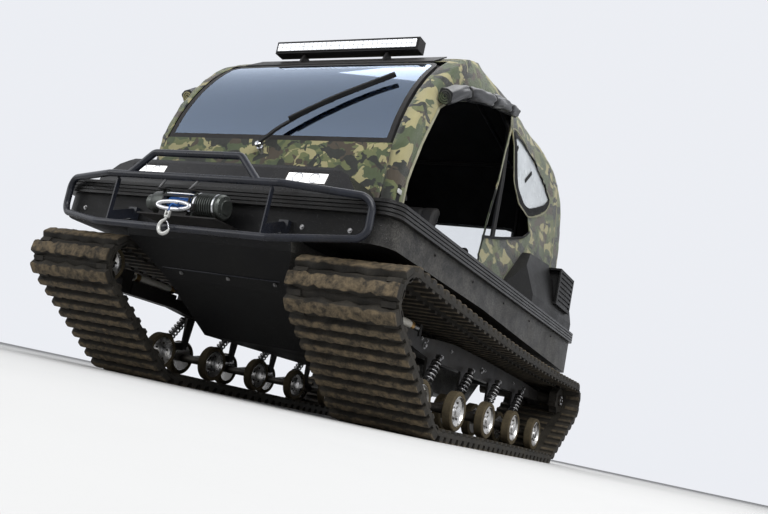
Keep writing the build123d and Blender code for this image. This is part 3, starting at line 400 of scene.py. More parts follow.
def finish_piece(mesh, name, slot, *materials, body="vehicle", replaces=(), angle=35, closed=True):
    """Object with its faces outward, its materials and its body; the nodes it stands for are hidden."""
    if closed:
        bmesh.ops.remove_doubles(mesh, verts=mesh.verts, dist=1e-5)
        bmesh.ops.recalc_face_normals(mesh, faces=mesh.faces)
    data = bpy.data.meshes.new(name)
    mesh.to_mesh(data)
    mesh.free()
    data.shade_smooth()
    data.set_sharp_from_angle(angle=math.radians(angle))
    for finish in materials:
        data.materials.append(finishes[finish])
    made = bpy.data.objects.new(name, data)
    bpy.context.scene.collection.objects.link(made)
    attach(made, body)
    if replaces:
        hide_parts(*replaces)
    return made


def turned_to(place, axis):
    """Matrix that puts a shape made along +Z at the place, along the axis."""
    aim = Vector(axis).to_track_quat("Z", "Y").to_matrix().to_4x4()
    return Matrix.Translation(place) @ aim


def lathe(mesh, profile, place, axis, steps=32, material=0):
    """Turned shape from (radius, height) points along the axis."""
    before = set(mesh.verts)
    old_faces = set(mesh.faces)
    last = None
    edges = []
    for radius, height in profile:
        vert = mesh.verts.new((radius, 0, height))
        if last:
            edges.append(mesh.edges.new((last, vert)))
        last = vert
    ring = [v for v in mesh.verts if v not in before]
    bmesh.ops.spin(mesh, geom=ring + edges, cent=(0, 0, 0), axis=(0, 0, 1), angle=math.tau,
                   steps=steps, use_merge=True)
    fresh = [v for v in mesh.verts if v not in before]
    bmesh.ops.remove_doubles(mesh, verts=fresh, dist=1e-6)
    fresh = [v for v in mesh.verts if v not in before]
    bmesh.ops.transform(mesh, matrix=turned_to(place, axis), verts=fresh)
    for face in mesh.faces:
        if face not in old_faces:
            face.material_index = material
    return fresh


def bar(mesh, start, end, radius, steps=14, material=0, round_off=0.0):
    run = Vector(end) - Vector(start)
    r = round_off
    profile = [(0, 0), (radius - r, 0), (radius, r), (radius, run.length - r),
               (radius - r, run.length), (0, run.length)]
    if not r:
        profile = [(0, 0), (radius, 0), (radius, run.length), (0, run.length)]
    lathe(mesh, profile, start, run, steps, material)


def brick(mesh, low, high, bevel=0.0, material=0, segments=2):
    """Box with rounded edges."""
    size = [b - a for a, b in zip(low, high)]
    centre = [(a + b) / 2 for a, b in zip(low, high)]
    shape = Matrix.Translation(centre) @ Matrix.Diagonal((*size, 1))
    old_faces = set(mesh.faces)
    made = bmesh.ops.create_cube(mesh, size=1, matrix=shape)["verts"]
    if bevel:
        edges = list({e for v in made for e in v.link_edges})
        bmesh.ops.bevel(mesh, geom=edges, offset=bevel, offset_type="OFFSET", affect="EDGES",
                        segments=segments, profile=0.5, material=-1)
    for face in mesh.faces:
        if face not in old_faces:
            face.material_index = material


def smooth_line(points, count):
    """Points spread evenly on one smooth curve through the given ones."""
    points = [Vector(p) for p in points]
    ends = [points[0] * 2 - points[1]] + points + [points[-1] * 2 - points[-2]]
    fine = []
    for a, b, c, d in zip(ends, ends[1:], ends[2:], ends[3:]):
        for step in range(24):
            t = step / 24
            fine.append(0.5 * (2 * b + (c - a) * t + (2 * a - 5 * b + 4 * c - d) * t * t
                               + (3 * b - a - 3 * c + d) * t ** 3))
    fine.append(points[-1])
    gone = [0.0]
    for a, b in zip(fine, fine[1:]):
        gone.append(gone[-1] + (b - a).length)
    even = []
    place = 0
    for step in range(count):
        want = gone[-1] * step / (count - 1)
        while place < len(gone) - 2 and gone[place + 1] < want:
            place += 1
        share = (want - gone[place]) / max(gone[place + 1] - gone[place], 1e-9)
        even.append(fine[place].lerp(fine[place + 1], share))
    return even


def tube(mesh, line, ring, material=0, facing=(0, 0, 1)):
    """Section of (sideways, up) points carried along a line, closed at both ends."""
    old_faces = set(mesh.faces)
    last = None
    for index, spot in enumerate(line):
        ahead = line[min(index + 1, len(line) - 1)] - line[max(index - 1, 0)]
        ahead.normalize()
        side = ahead.cross(Vector(facing))
        if side.length < 0.2:
            side = ahead.cross(Vector((0, 1, 0)))
        side.normalize()
        up = side.cross(ahead)
        shape = ring(index / (len(line) - 1)) if callable(ring) else ring
        verts = [mesh.verts.new(spot + side * a + up * b) for a, b in shape]
        edges = [mesh.edges.new((a, b)) for a, b in zip(verts, verts[1:] + verts[:1])]
        if last:
            bmesh.ops.bridge_loops(mesh, edges=last + edges)
        else:
            bmesh.ops.contextual_create(mesh, geom=edges)
        last = edges
    bmesh.ops.contextual_create(mesh, geom=last)
    for face in mesh.faces:
        if face not in old_faces:
            face.material_index = material


def circle(radius, count=12):
    return [(radius * math.cos(math.tau * k / count), radius * math.sin(math.tau * k / count))
            for k in range(count)]


def mirror_across(mesh):
    """Copy of everything on the other side of the vehicle."""
    copied = bmesh.ops.duplicate(mesh, geom=mesh.verts[:] + mesh.edges[:] + mesh.faces[:])["geom"]
    verts = [v for v in copied if isinstance(v, bmesh.types.BMVert)]
    faces = [f for f in copied if isinstance(f, bmesh.types.BMFace)]
    bmesh.ops.scale(mesh, vec=(1, -1, 1), verts=verts)
    bmesh.ops.reverse_faces(mesh, faces=faces)


# Tracks, with the same path as the solids

pitch_count = 84
track_middle, track_width = 0.721, 0.492
rib, belt, lug = 0.012, 0.019, 0.025
road_radius, idler_radius, drive_radius = 0.0928, 0.0848, 0.0772
road_z = lug + belt + rib + road_radius
road_xs = (0.727, 0.305, -0.117, -0.539, -0.961)
idler_place, drive_place = (1.204, 0.476), (-1.349, 0.398)


def track_line():
    """Fine points of the rib tips' path, from the sprocket's rear, down and forward."""
    ring = [(drive_place, drive_radius), ((road_xs[-1], road_z), road_radius),
            ((road_xs[0], road_z), road_radius), (idler_place, idler_radius)]
    sag = 26.0
    a, b = Vector(idler_place), Vector(drive_place)
    base = b - a
    reach_a, reach_b = sag + idler_radius, sag + drive_radius
    along = (reach_a ** 2 - reach_b ** 2 + base.length ** 2) / (2 * base.length)
    unit = base.normalized()
    sky = a + unit * along + Vector((unit.y, -unit.x)) * math.sqrt(reach_a ** 2 - along ** 2)
    corners = []
    for (centre_a, radius_a), (centre_b, radius_b) in zip(ring, ring[1:]):
        run = Vector(centre_b) - Vector(centre_a)
        turn = math.atan2(run.y, run.x) - math.acos((radius_a - radius_b) / run.length)
        corners.append(turn)
    up_a = sky - Vector(idler_place)
    up_b = sky - Vector(drive_place)
    spans = (
        (drive_place, drive_radius, -math.pi, corners[0]),
        ((road_xs[-1], road_z), road_radius, corners[0], corners[1]),
        ((road_xs[0], road_z), road_radius, corners[1], corners[2]),
        (idler_place, idler_radius, corners[2], math.atan2(up_a.y, up_a.x)),
        (tuple(sky), -sag, math.atan2(-up_a.y, -up_a.x), math.atan2(-up_b.y, -up_b.x)),
        (drive_place, drive_radius, math.atan2(up_b.y, up_b.x), math.pi),
    )
    points = []
    for centre, radius, start, end in spans:
        reach = abs(radius)
        for step in range(41):
            turn = start + (end - start) * step / 40
            points.append(Vector(centre) + Vector((math.cos(turn), math.sin(turn))) * reach)
    return points


def spots_along(points, count):
    """Place and heading at even steps round a closed line."""
    gone = [0.0]
    for a, b in zip(points, points[1:]):
        gone.append(gone[-1] + (b - a).length)
    spots = []
    place = 0
    for step in range(count):
        want = gone[-1] * step / count
        while gone[place + 1] < want or gone[place + 1] - gone[place] < 1e-9:
            place += 1
        share = (want - gone[place]) / (gone[place + 1] - gone[place])
        spots.append(points[place].lerp(points[place + 1], share))
    return spots, gone[-1]


def track_link(pitch):
    """One pitch of belt with its wavy outer lug and its inner ribs, laid flat."""
    mesh = bmesh.new()
    half = track_width / 2
    brick(mesh, (0, -half, rib), (pitch, half, rib + belt))
    before = set(mesh.verts)
    brick(mesh, (pitch * 0.15, -half, rib + belt - 0.002), (pitch * 0.85, half, rib + belt + lug))
    fresh = [v for v in mesh.verts if v not in before]
    along = [e for e in mesh.edges if all(v in fresh for v in e.verts)
             and abs(e.verts[0].co.y - e.verts[1].co.y) > 0.1]
    bmesh.ops.subdivide_edges(mesh, edges=along, cuts=17, use_grid_fill=True)
    fresh = [v for v in mesh.verts if v not in before]
    for vert in fresh:
        wave = 0.0045 * math.sin(vert.co.y / half * math.pi * 4)
        top = vert.co.z > rib + belt
        middle = pitch * 0.5
        if top:
            vert.co.x = middle + (vert.co.x - middle) * 0.68
            if abs(vert.co.y) > half - 0.001:
                vert.co.y *= 0.985
        vert.co.x += wave
    crest = [e for e in mesh.edges if all(v in fresh for v in e.verts)
             and all(v.co.z > rib + belt + 0.01 for v in e.verts)
             and abs(e.verts[0].co.y - e.verts[1].co.y) > 0.01]
    bmesh.ops.bevel(mesh, geom=crest, offset=0.0065, offset_type="OFFSET", affect="EDGES",
                    segments=2, profile=0.5, material=-1)
    for low, high in ((-half, -0.165), (-0.115, 0.115), (0.165, half)):
        before = set(mesh.verts)
        brick(mesh, (pitch * 0.27, low, 0), (pitch * 0.73, high, rib + 0.002))
        for vert in mesh.verts:
            if vert not in before and vert.co.z < 0.001:
                vert.co.x = pitch * 0.5 + (vert.co.x - pitch * 0.5) * 0.7
    for y in (-0.205, 0.205):
        before = set(mesh.verts)
        brick(mesh, (pitch * 0.86, y - 0.03, rib + belt - 0.002), (pitch * 1.1, y + 0.03, rib + belt + 0.006))
    return mesh


def build_track(name, side):
    line = track_line()
    fine_count = pitch_count * 10
    spots, length = spots_along(line, fine_count)
    pitch = length / pitch_count
    pattern = track_link(pitch)
    data = bpy.data.meshes.new("link")
    pattern.to_mesh(data)
    pattern.free()
    mesh = bmesh.new()
    raised = mesh.verts.layers.float.new("raised")
    for link in range(pitch_count):
        before = len(mesh.verts)
        mesh.from_mesh(data)
        mesh.verts.ensure_lookup_table()
        for vert in mesh.verts[before:]:
            place = (link + vert.co.x / pitch) * 10
            index = math.floor(place)
            a = spots[index % fine_count]
            b = spots[(index + 1) % fine_count]
            heading = (b - a).normalized()
            spot = a.lerp(b, place - index)
            out = vert.co.z
            # Tip share for the lighter tip colour, partly dust, partly painted highlight; inner rib tips get part of
            # it.
            vert[raised] = (out - rib - belt) / lug if out > rib + belt else 0.86 * (out < 0.001)
            vert.co = Vector((spot.x + heading.y * out, side * (track_middle + vert.co.y),
                              spot.y - heading.x * out))
    bmesh.ops.remove_doubles(mesh, verts=mesh.verts, dist=2e-5)
    bmesh.ops.recalc_face_normals(mesh, faces=mesh.faces)
    finish_piece(mesh, f"{name}_tread", "track_rubber", "track_rubber", replaces=[name], angle=40,
                 closed=False)


build_track("track_left", 1)
build_track("track_right", -1)


# Wheels with rubber rims on dished discs

wheel_gap, disc_width = 0.186, 0.048


def disc(mesh, x, z, y, face, radius, bolts=5):
    """Rubber rim and dished metal disc that faces along the given side."""
    rim = radius - 0.02
    axis = (0, face, 0)
    back = (x, y - face * disc_width, z)
    w = disc_width
    lathe(mesh, [(rim - 0.002, 0.001), (radius - 0.003, 0.001), (radius, 0.005), (radius, w - 0.006),
                 (radius - 0.004, w - 0.001), (rim + 0.001, w - 0.001), (rim - 0.002, w - 0.006),
                 (rim - 0.002, 0.001)],
          back, axis, 40, 1)
    lathe(mesh, [(0, 0.004), (rim, 0.004), (rim, w - 0.004), (rim - 0.004, w - 0.002),
                 (rim - 0.009, w - 0.012), (rim * 0.62, w - 0.02), (rim * 0.5, w - 0.013),
                 (0.026, w - 0.01), (0.024, w - 0.002), (0.018, w + 0.0), (0, w + 0.0)],
          back, axis, 40, 0)
    for bolt in range(bolts):
        turn = math.tau * (bolt + 0.3) / bolts
        reach = rim * 0.56
        spot = Vector((x + reach * math.cos(turn), y - face * 0.016, z + reach * math.sin(turn)))
        lathe(mesh, [(0, 0), (0.006, 0), (0.006, 0.005), (0.004, 0.0065), (0, 0.0065)], spot, axis, 6, 2)


def twin(mesh, x, z, radius):
    inner = track_middle - wheel_gap / 2
    outer = track_middle + wheel_gap / 2
    disc(mesh, x, z, inner - disc_width, -1, radius)
    disc(mesh, x, z, outer + disc_width, 1, radius)
    lathe(mesh, [(0.021, 0), (0.021, wheel_gap), (0.0175, wheel_gap), (0.0175, 0), (0.021, 0)],
          (x, inner, z), (0, 1, 0), 24, 2)
    bar(mesh, (x, inner - disc_width + 0.002, z), (x, outer + disc_width - 0.002, z), 0.017, 20, 2)


for side, sign in (("left", 1), ("right", -1)):
    mesh = bmesh.new()
    for x in road_xs:
        twin(mesh, x, road_z, 0.092)
    if sign < 0:
        bmesh.ops.scale(mesh, vec=(1, -1, 1), verts=mesh.verts)
    finish_piece(mesh, f"rimmed_wheels_{side}", "wheel_metal", "wheel_metal", "wheel_rubber",
                 "sprocket_steel", replaces=[f"road_wheels_{side}"])

mesh = bmesh.new()
twin(mesh, *idler_place, 0.084)
mirror_across(mesh)
finish_piece(mesh, "rimmed_idlers", "wheel_metal", "wheel_metal", "wheel_rubber", "sprocket_steel",
             replaces=["idlers"])


# Coil springs on the shocks

def coil(mesh, start, end, radius, wire, turns, material=0):
    run = Vector(end) - Vector(start)
    before = set(mesh.verts)
    old_faces = set(mesh.faces)
    made = bmesh.ops.create_circle(mesh, cap_ends=True, segments=8, radius=wire,
                                   matrix=Matrix.Translation((radius, 0, 0)) @ Matrix.Rotation(math.pi / 2, 4, "X"))
    steps = int(turns * 16)
    faces = [f for f in mesh.faces if f not in old_faces]
    geom = made["verts"] + list({e for v in made["verts"] for e in v.link_edges}) + faces
    bmesh.ops.spin(mesh, geom=geom, cent=(0, 0, 0), axis=(0, 0, 1), angle=math.tau * turns,
                   steps=steps, dvec=(0, 0, run.length / steps))
    fresh = [v for v in mesh.verts if v not in before]
    bmesh.ops.transform(mesh, matrix=turned_to(start, run), verts=fresh)
    for face in mesh.faces:
        if face not in old_faces:
            face.material_index = material


def build_shocks():
    mesh = bmesh.new()
    for x in road_xs[:-1]:
        top = Vector((x - 0.322, 0.762, 0.374))
        foot = Vector((x - 0.212, 0.762, 0.229))
        run = foot - top
        bar(mesh, top, top.lerp(foot, 0.5), 0.012, 16, 0)
        bar(mesh, top.lerp(foot, 0.4), foot, 0.008, 14, 0)
        for share in (0.2, 0.92):
            spot = top.lerp(foot, share)
            lathe(mesh, [(0, 0), (0.024, 0), (0.025, 0.002), (0.025, 0.005), (0.0, 0.006)], spot, run, 24, 1)
        coil(mesh, top.lerp(foot, 0.25), top.lerp(foot, 0.9), 0.0205, 0.0052, 5, 0)
        lathe(mesh, [(0, 0), (0.013, 0), (0.013, 0.026), (0.009, 0.026), (0.009, 0.033), (0, 0.034)],
              (top.x, 0.744, top.z), (0, 1, 0), 6, 0)
        lathe(mesh, [(0, 0), (0.013, 0), (0.013, 0.03), (0, 0.031)], (foot.x, 0.747, foot.z), (0, 1, 0), 12, 1)
    mirror_across(mesh)
    finish_piece(mesh, "coil_springs", "shock_steel", "shock_steel", "frame_paint", replaces=["shocks"])


build_shocks()


# Canopy: one sheet over the hoops, cut out for screen, doors and windows

deck_top = 0.833
canopy_section = ((0.752, deck_top), (0.75, 1.1), (0.742, 1.4), (0.727, 1.68), (0.705, 1.8),
                  (0.668, 1.88), (0.598, 1.932), (0.42, 1.956))
canopy_roof = ((0.56, 1.812), (0.4, 1.882), (0.23, 1.934), (0, 1.956), (-0.42, 1.95), (-0.76, 1.888),
               (-1.01, 1.782), (-1.165, 1.63), (-1.235, 1.38), (-1.262, 1.1), (-1.268, deck_top))
canopy_taper = ((0.25, 0.757), (1.04, 0.69))
door_outline = ((0.95, deck_top + 0.038), (0.95, 1.035), (0.923, 1.139), (0.88, 1.272), (0.818, 1.43),
                (0.74, 1.5), (0.4, 1.648), (-0.04, 1.775), (0.018, 1.55), (0.075, 1.31), (0.128, 1.13),
                (0.158, 0.95), (0.16, deck_top + 0.038))
window_outline = ((-0.1, 1.68), (-0.15, 1.7), (-0.235, 1.702), (-0.46, 1.678), (-0.68, 1.624),
                  (-0.835, 1.57), (-0.74, 1.488), (-0.475, 1.38), (-0.31, 1.398), (-0.205, 1.475),
                  (-0.14, 1.61))
gap_outline = ((-0.046, 1.7), (0.0, 1.55), (0.057, 1.31), (0.11, 1.13), (0.132, 1.04), (-0.091, 1.098),
               (-0.435, 1.204), (-0.55, 1.27), (-0.49, 1.34), (-0.295, 1.36), (-0.172, 1.443),
               (-0.098, 1.634))
screen_half, screen_top = 0.634, 1.734
screen_low, screen_high, screen_bow = Vector((1.03, 0, 1.172)), Vector((0.692, 0, 1.722)), 0.055
screen_slope = (screen_high - screen_low).normalized()
screen_normal = Vector((screen_slope.z, 0, -screen_slope.x))


def on_bend(share, out=0.0):
    """Place on the bent screen in side view, from its lower edge at 0 to its upper at 1."""
    half = (screen_high - screen_low).length / 2
    radius = (half ** 2 + screen_bow ** 2) / (2 * screen_bow)
    centre = (screen_low + screen_high) / 2 + screen_normal * (screen_bow - radius)
    turn = math.asin(half / radius) * (2 * share - 1)
    return centre + (screen_normal * math.cos(turn) + screen_slope * math.sin(turn)) * (radius + out)


bend_spots = [on_bend(index / 6, -0.001) for index in range(7)]
canopy_profile = ((1.034, deck_top), *((spot.x, spot.z) for spot in bend_spots), *canopy_roof)
rear_half, rear_low, rear_high = 0.4, 1.19, 1.47


def inside(outline, x, z):
    hit = False
    for (xa, za), (xb, zb) in zip(outline, outline[1:] + outline[:1]):
        if (za > z) != (zb > z) and x < (xb - xa) * (z - za) / (zb - za) + xa:
            hit = not hit
    return hit


def slice_faces(mesh, place, normal, wanted=None):
    """Cut across the wanted faces, and keep both halves."""
    faces = [f for f in mesh.faces if wanted is None or wanted(f)]
    geom = faces + list({e for f in faces for e in f.edges}) + list({v for f in faces for v in f.verts})
    bmesh.ops.bisect_plane(mesh, geom=geom, plane_co=place, plane_no=normal, dist=1e-5)


def trim(mesh, place, normal):
    """Cut off what lies beyond a plane, and close the cut."""
    geom = mesh.verts[:] + mesh.edges[:] + mesh.faces[:]
    cut = bmesh.ops.bisect_plane(mesh, geom=geom, plane_co=place, plane_no=normal, clear_outer=True,
                                 dist=1e-6)["geom_cut"]
    edges = [e for e in cut if isinstance(e, bmesh.types.BMEdge)]
    if edges:
        bmesh.ops.contextual_create(mesh, geom=edges)


def on_side(face):
    return abs(face.normal.y) > 0.6


def canopy_skin(step=0.03, rounds=6):
    mesh = bmesh.new()
    brick(mesh, (-1.4, -0.8, deck_top), (1.2, 0.8, canopy_section[-1][1]))
    (x_wide, wide), (x_front, narrow) = canopy_taper
    for sign in (1, -1):
        trim(mesh, (x_wide, sign * wide, 0), (wide - narrow, sign * (x_front - x_wide), 0))
    for (ya, za), (yb, zb) in zip(canopy_section, canopy_section[1:]):
        for sign in (1, -1):
            trim(mesh, (0, sign * ya, za), (0, sign * (zb - za), ya - yb))
    for (xa, za), (xb, zb) in zip(canopy_profile, canopy_profile[1:]):
        trim(mesh, (xa, 0, za), (zb - za, 0, xa - xb))
    base = [f for f in mesh.faces if f.calc_center_median().z < deck_top + 1e-4]
    bmesh.ops.delete(mesh, geom=base, context="FACES")
    for axis, low, high in ((0, -1.26, 1.03), (1, -0.74, 0.74), (2, deck_top, 1.95)):
        count = round((high - low) / step)
        for index in range(1, count):
            place = [0, 0, 0]
            place[axis] = low + (high - low) * index / count
            normal = [0, 0, 0]
            normal[axis] = 1
            slice_faces(mesh, place, normal)
    for outline in (door_outline, window_outline, gap_outline):
        for (xa, za), (xb, zb) in zip(outline, outline[1:] + outline[:1]):
            slice_faces(mesh, (xa, 0, za), (zb - za, 0, xa - xb),
                        lambda f: on_side(f) and min(xa, xb) - 0.06 < f.calc_center_median().x < max(xa, xb) + 0.06)
    for y in (-screen_half, screen_half, -rear_half, rear_half):
        slice_faces(mesh, (0, y, 0), (0, 1, 0), lambda f: abs(f.normal.y) < 0.6)
    for z in (screen_top, rear_low, rear_high):
        slice_faces(mesh, (0, 0, z), (0, 0, 1), lambda f: abs(f.normal.y) < 0.6)
    gone = []
    for face in mesh.faces:
        x, y, z = face.calc_center_median()
        on_flank = abs(face.normal.y) > 0.6
        if on_flank and any(inside(o, x, z) for o in (door_outline, window_outline, gap_outline)):
            gone.append(face)
        elif x > 0.6 and abs(y) < screen_half and z < screen_top and not on_flank:
            gone.append(face)
        elif x < -1.1 and abs(y) < rear_half and rear_low < z < rear_high and not on_flank:
            gone.append(face)
    bmesh.ops.delete(mesh, geom=gone, context="FACES")
    bmesh.ops.remove_doubles(mesh, verts=mesh.verts, dist=0.004)
    loose = [v for v in mesh.verts if not v.link_faces]
    bmesh.ops.delete(mesh, geom=loose, context="VERTS")
    for _ in range(rounds):
        free = [v for v in mesh.verts if not v.is_boundary]
        bmesh.ops.smooth_vert(mesh, verts=free, factor=0.5, use_axis_x=True, use_axis_y=True,
                              use_axis_z=True)
    for vert in mesh.verts:
        if vert.is_boundary:
            continue
        x, y, z = vert.co
        out = vert.normal
        hoops = min(abs(x - h) for h in (0.65, -0.07, -0.9))
        roof = max(0.0, min(1.0, (z - 1.5) / 0.3))
        sag = 0.012 * min(1.0, hoops / 0.35) * roof
        ripple = noise.noise(Vector((x * 3.1, y * 2.3, z * 2.3))) * 0.007
        ripple += noise.noise(Vector((x * 9, y * 5, z * 4 + 7))) * 0.003
        vert.co -= out * (sag + 0.004 + ripple)
    bmesh.ops.recalc_face_normals(mesh, faces=mesh.faces)
    return mesh


def outward(mesh):
    """Turn an open skin's faces away from the cabin's middle."""
    middle = Vector((-0.1, 0, 1.2))
    score = sum((f.calc_center_median() - middle).dot(f.normal) * f.calc_area() for f in mesh.faces)
    if score < 0:
        bmesh.ops.reverse_faces(mesh, faces=mesh.faces)


skin = canopy_skin()
outward(skin)
canopy_area = sum(f.calc_area() for f in skin.faces)
canopy_tree = BVHTree.FromBMesh(skin)
canopy = finish_piece(skin, "canopy_sheet", "canopy_fabric", "canopy_cloth", "lining",
                      replaces=["canopy"], angle=60, closed=False)
thick = canopy.modifiers.new("cloth", "SOLIDIFY")
thick.thickness = 0.003
thick.offset = -1
thick.material_offset = 1
thick.material_offset_rim = 0
print("canopy area", canopy_area)


# Straps, seams and edgings that lie on the canopy

def ribbon(mesh, points, width, thickness, material=0, count=40, lift=0.0005, smooth=True):
    """Flat strip laid on the canopy's outside along a line of points."""
    old_faces = set(mesh.faces)
    line = smooth_line(points, count) if smooth else [Vector(p) for p in points]
    spots = []
    for spot in line:
        near, normal, _, _ = canopy_tree.find_nearest(spot)
        spots.append((near, normal))
    last = None
    for index, (near, normal) in enumerate(spots):
        ahead = spots[min(index + 1, len(spots) - 1)][0] - spots[max(index - 1, 0)][0]
        side = normal.cross(ahead).normalized() * width / 2
        foot = near + normal * lift
        top = near + normal * (lift + thickness)
        verts = [mesh.verts.new(p) for p in (foot - side, foot + side, top + side * 0.86, top - side * 0.86)]
        edges = [mesh.edges.new((a, b)) for a, b in zip(verts, verts[1:] + verts[:1])]
        if last:
            bmesh.ops.bridge_loops(mesh, edges=last + edges)
        else:
            bmesh.ops.contextual_create(mesh, geom=edges)
        last = edges
    bmesh.ops.contextual_create(mesh, geom=last)
    for face in mesh.faces:
        if face not in old_faces:
            face.material_index = material


def flank(outline):
    return [(x, 0.75, z) for x, z in outline]


def grown(outline, by):
    """Outline moved outward from its middle."""
    cx = sum(p[0] for p in outline) / len(outline)
    cz = sum(p[1] for p in outline) / len(outline)
    return [(x + by * math.copysign(1, x - cx) * min(1, abs(x - cx) / 0.2),
             z + by * math.copysign(1, z - cz) * min(1, abs(z - cz) / 0.1)) for x, z in outline]


def build_trim():
    mesh = bmesh.new()
    window = flank(window_outline)
    ring = window + window[:1]
    ribbon(mesh, ring, 0.024, 0.0035, 1, 90)
    band = flank(grown(window_outline, 0.016))
    ribbon(mesh, band + band[:1], 0.03, 0.0022, 1, 90)
    band = flank(grown(window_outline, 0.034))
    ribbon(mesh, band + band[:1], 0.009, 0.0035, 0, 90)
    ribbon(mesh, flank([(x - 0.008, z) for x, z in door_outline[7:10]]), 0.012, 0.004, 0, 40)
    ribbon(mesh, flank([(x - 0.008, z) for x, z in door_outline[9:]]), 0.016, 0.004, 1, 30)
    ribbon(mesh, flank(gap_outline[4:8]), 0.014, 0.003, 1, 40)
    ribbon(mesh, flank(door_outline[:6]), 0.012, 0.003, 0, 50)
    ribbon(mesh, flank(((-1.02, 1.74), (-1.05, 1.4), (-1.06, 1.1), (-1.06, 0.85))), 0.01, 0.002, 0, 40)
    ribbon(mesh, flank(((-0.12, 0.845), (-0.6, 0.845), (-1.2, 0.845))), 0.02, 0.003, 1, 40)
    for start, end in (((-0.45, 1.6), (-0.355, 1.515)), ((-0.17, 1.65), (-0.14, 1.59))):
        run = Vector((start[0] - end[0], 0, start[1] - end[1])).normalized()
        side = Vector((run.z, 0, -run.x)) * 0.011
        edge = [(start, 1), (start, -1), (end, -1), (end, 1)]
        verts = [mesh.verts.new((x + side.x * k, 0.7445 - 0.055 * (z - 1.4), z + side.z * k)) for (x, z), k in edge]
        patch = bmesh.ops.contextual_create(mesh, geom=verts)["faces"]
        bmesh.ops.solidify(mesh, geom=patch, thickness=0.002)
        for face in {f for v in verts for f in v.link_faces} | set(patch):
            face.material_index = 1
    mirror_across(mesh)
    for x in (0.62, -0.07, -0.9):
        ribbon(mesh, [(x, 0.72, 1.7), (x, 0.6, 1.9), (x, 0.2, 1.93), (x, -0.2, 1.93), (x, -0.6, 1.9),
                      (x, -0.72, 1.7)], 0.012, 0.0015, 0, 60)
    rear = [(-1.25, y, z) for y, z in ((-0.4, 1.19), (0.4, 1.19), (0.4, 1.47), (-0.4, 1.47), (-0.4, 1.19))]
    for a, b in zip(rear, rear[1:]):
        ribbon(mesh, [a, tuple((p + q) / 2 for p, q in zip(a, b)), b], 0.03, 0.003, 1, 16)
    finish_piece(mesh, "canopy_trim", "canopy_fabric", "edging", "strap_black", closed=False)


build_trim()


# Door flaps rolled up over the doors

def build_rolls():
    mesh = bmesh.new()
    route = [(0.855, 0.745, 1.468), (0.72, 0.757, 1.548), (0.51, 0.773, 1.622), (0.3, 0.768, 1.694),
             (0.04, 0.757, 1.76)]
    line = smooth_line(route, 70)

    def section(share):
        points = []
        count = 30
        for k in range(count):
            turn = math.tau * k / count
            fold = 0.0022 * math.sin(turn * 4 + share * 13) + 0.0016 * math.sin(turn * 7 - share * 31)
            tie = sum(math.exp(-((share - s) / 0.018) ** 2) for s in (0.24, 0.56, 0.86))
            lip = 0.004 * math.exp(-(((turn - 3.9 + 0.5 * math.sin(share * 7)) % math.tau) / 0.28) ** 2)
            radius = 0.037 - 0.008 * share + fold + lip - 0.006 * tie
            radius *= 1 + 0.05 * math.sin(share * 23) * 0.6
            points.append((radius * math.cos(turn), radius * math.sin(turn)))
        return points

    tube(mesh, line, section, 0)
    ahead = (line[0] - line[1]).normalized()
    up = ahead.cross(Vector((0, 1, 0))).normalized()
    out = up.cross(ahead)
    coil_line = []
    for step in range(40):
        turn = step * 0.45
        reach = 0.004 + 0.029 * step / 39
        coil_line.append(line[0] + ahead * 0.0015 + (up * math.cos(turn) + out * math.sin(turn)) * reach)
    tube(mesh, coil_line, circle(0.0032, 8), 2, facing=ahead)
    for share in (0.24, 0.56, 0.86):
        near = line[int(share * 69) - 1:int(share * 69) + 2]
        middle = near[1]
        ahead = (near[2] - near[0]).normalized() * 0.011
        tube(mesh, [middle - ahead, middle, middle + ahead], circle(0.0355 - 0.008 * share, 24), 1)
    mirror_across(mesh)
    rolls = finish_piece(mesh, "rolled_flaps", "canopy_fabric", "roll_cloth", "strap_black", "canopy_cloth",
                         replaces=["door_rolls"], angle=50)


build_rolls()


# Seats

def blown(mesh, voxel, cap):
    """Even mesh of the shape, swollen by Cloth, with no point moved further than the cap."""
    data = bpy.data.meshes.new("pad")
    mesh.to_mesh(data)
    pad = bpy.data.objects.new("pad", data)
    bpy.context.scene.collection.objects.link(pad)
    even = pad.modifiers.new("even", "REMESH")
    even.mode = "VOXEL"
    even.voxel_size = voxel
    start = bpy.data.meshes.new_from_object(pad.evaluated_get(bpy.context.evaluated_depsgraph_get()))
    pad.modifiers.clear()
    pad.data = start
    goal = start
    cloth = pad.modifiers.new("swell", "CLOTH")
    cloth.settings.use_pressure = True
    cloth.settings.uniform_pressure_force = 4
    cloth.settings.effector_weights.gravity = 0
    cloth.point_cache.frame_end = 20
    for step in range(1, 21):
        bpy.context.scene.frame_set(step)
    goal = bpy.data.meshes.new_from_object(pad.evaluated_get(bpy.context.evaluated_depsgraph_get()))
    pad.modifiers.clear()
    mesh.clear()
    mesh.from_mesh(start)
    for vert, wanted in zip(mesh.verts, goal.vertices):
        move = wanted.co - vert.co
        vert.co += move * min(1.0, cap / max(move.length, 1e-6))
    bpy.data.objects.remove(pad)
    bpy.context.scene.frame_set(1)


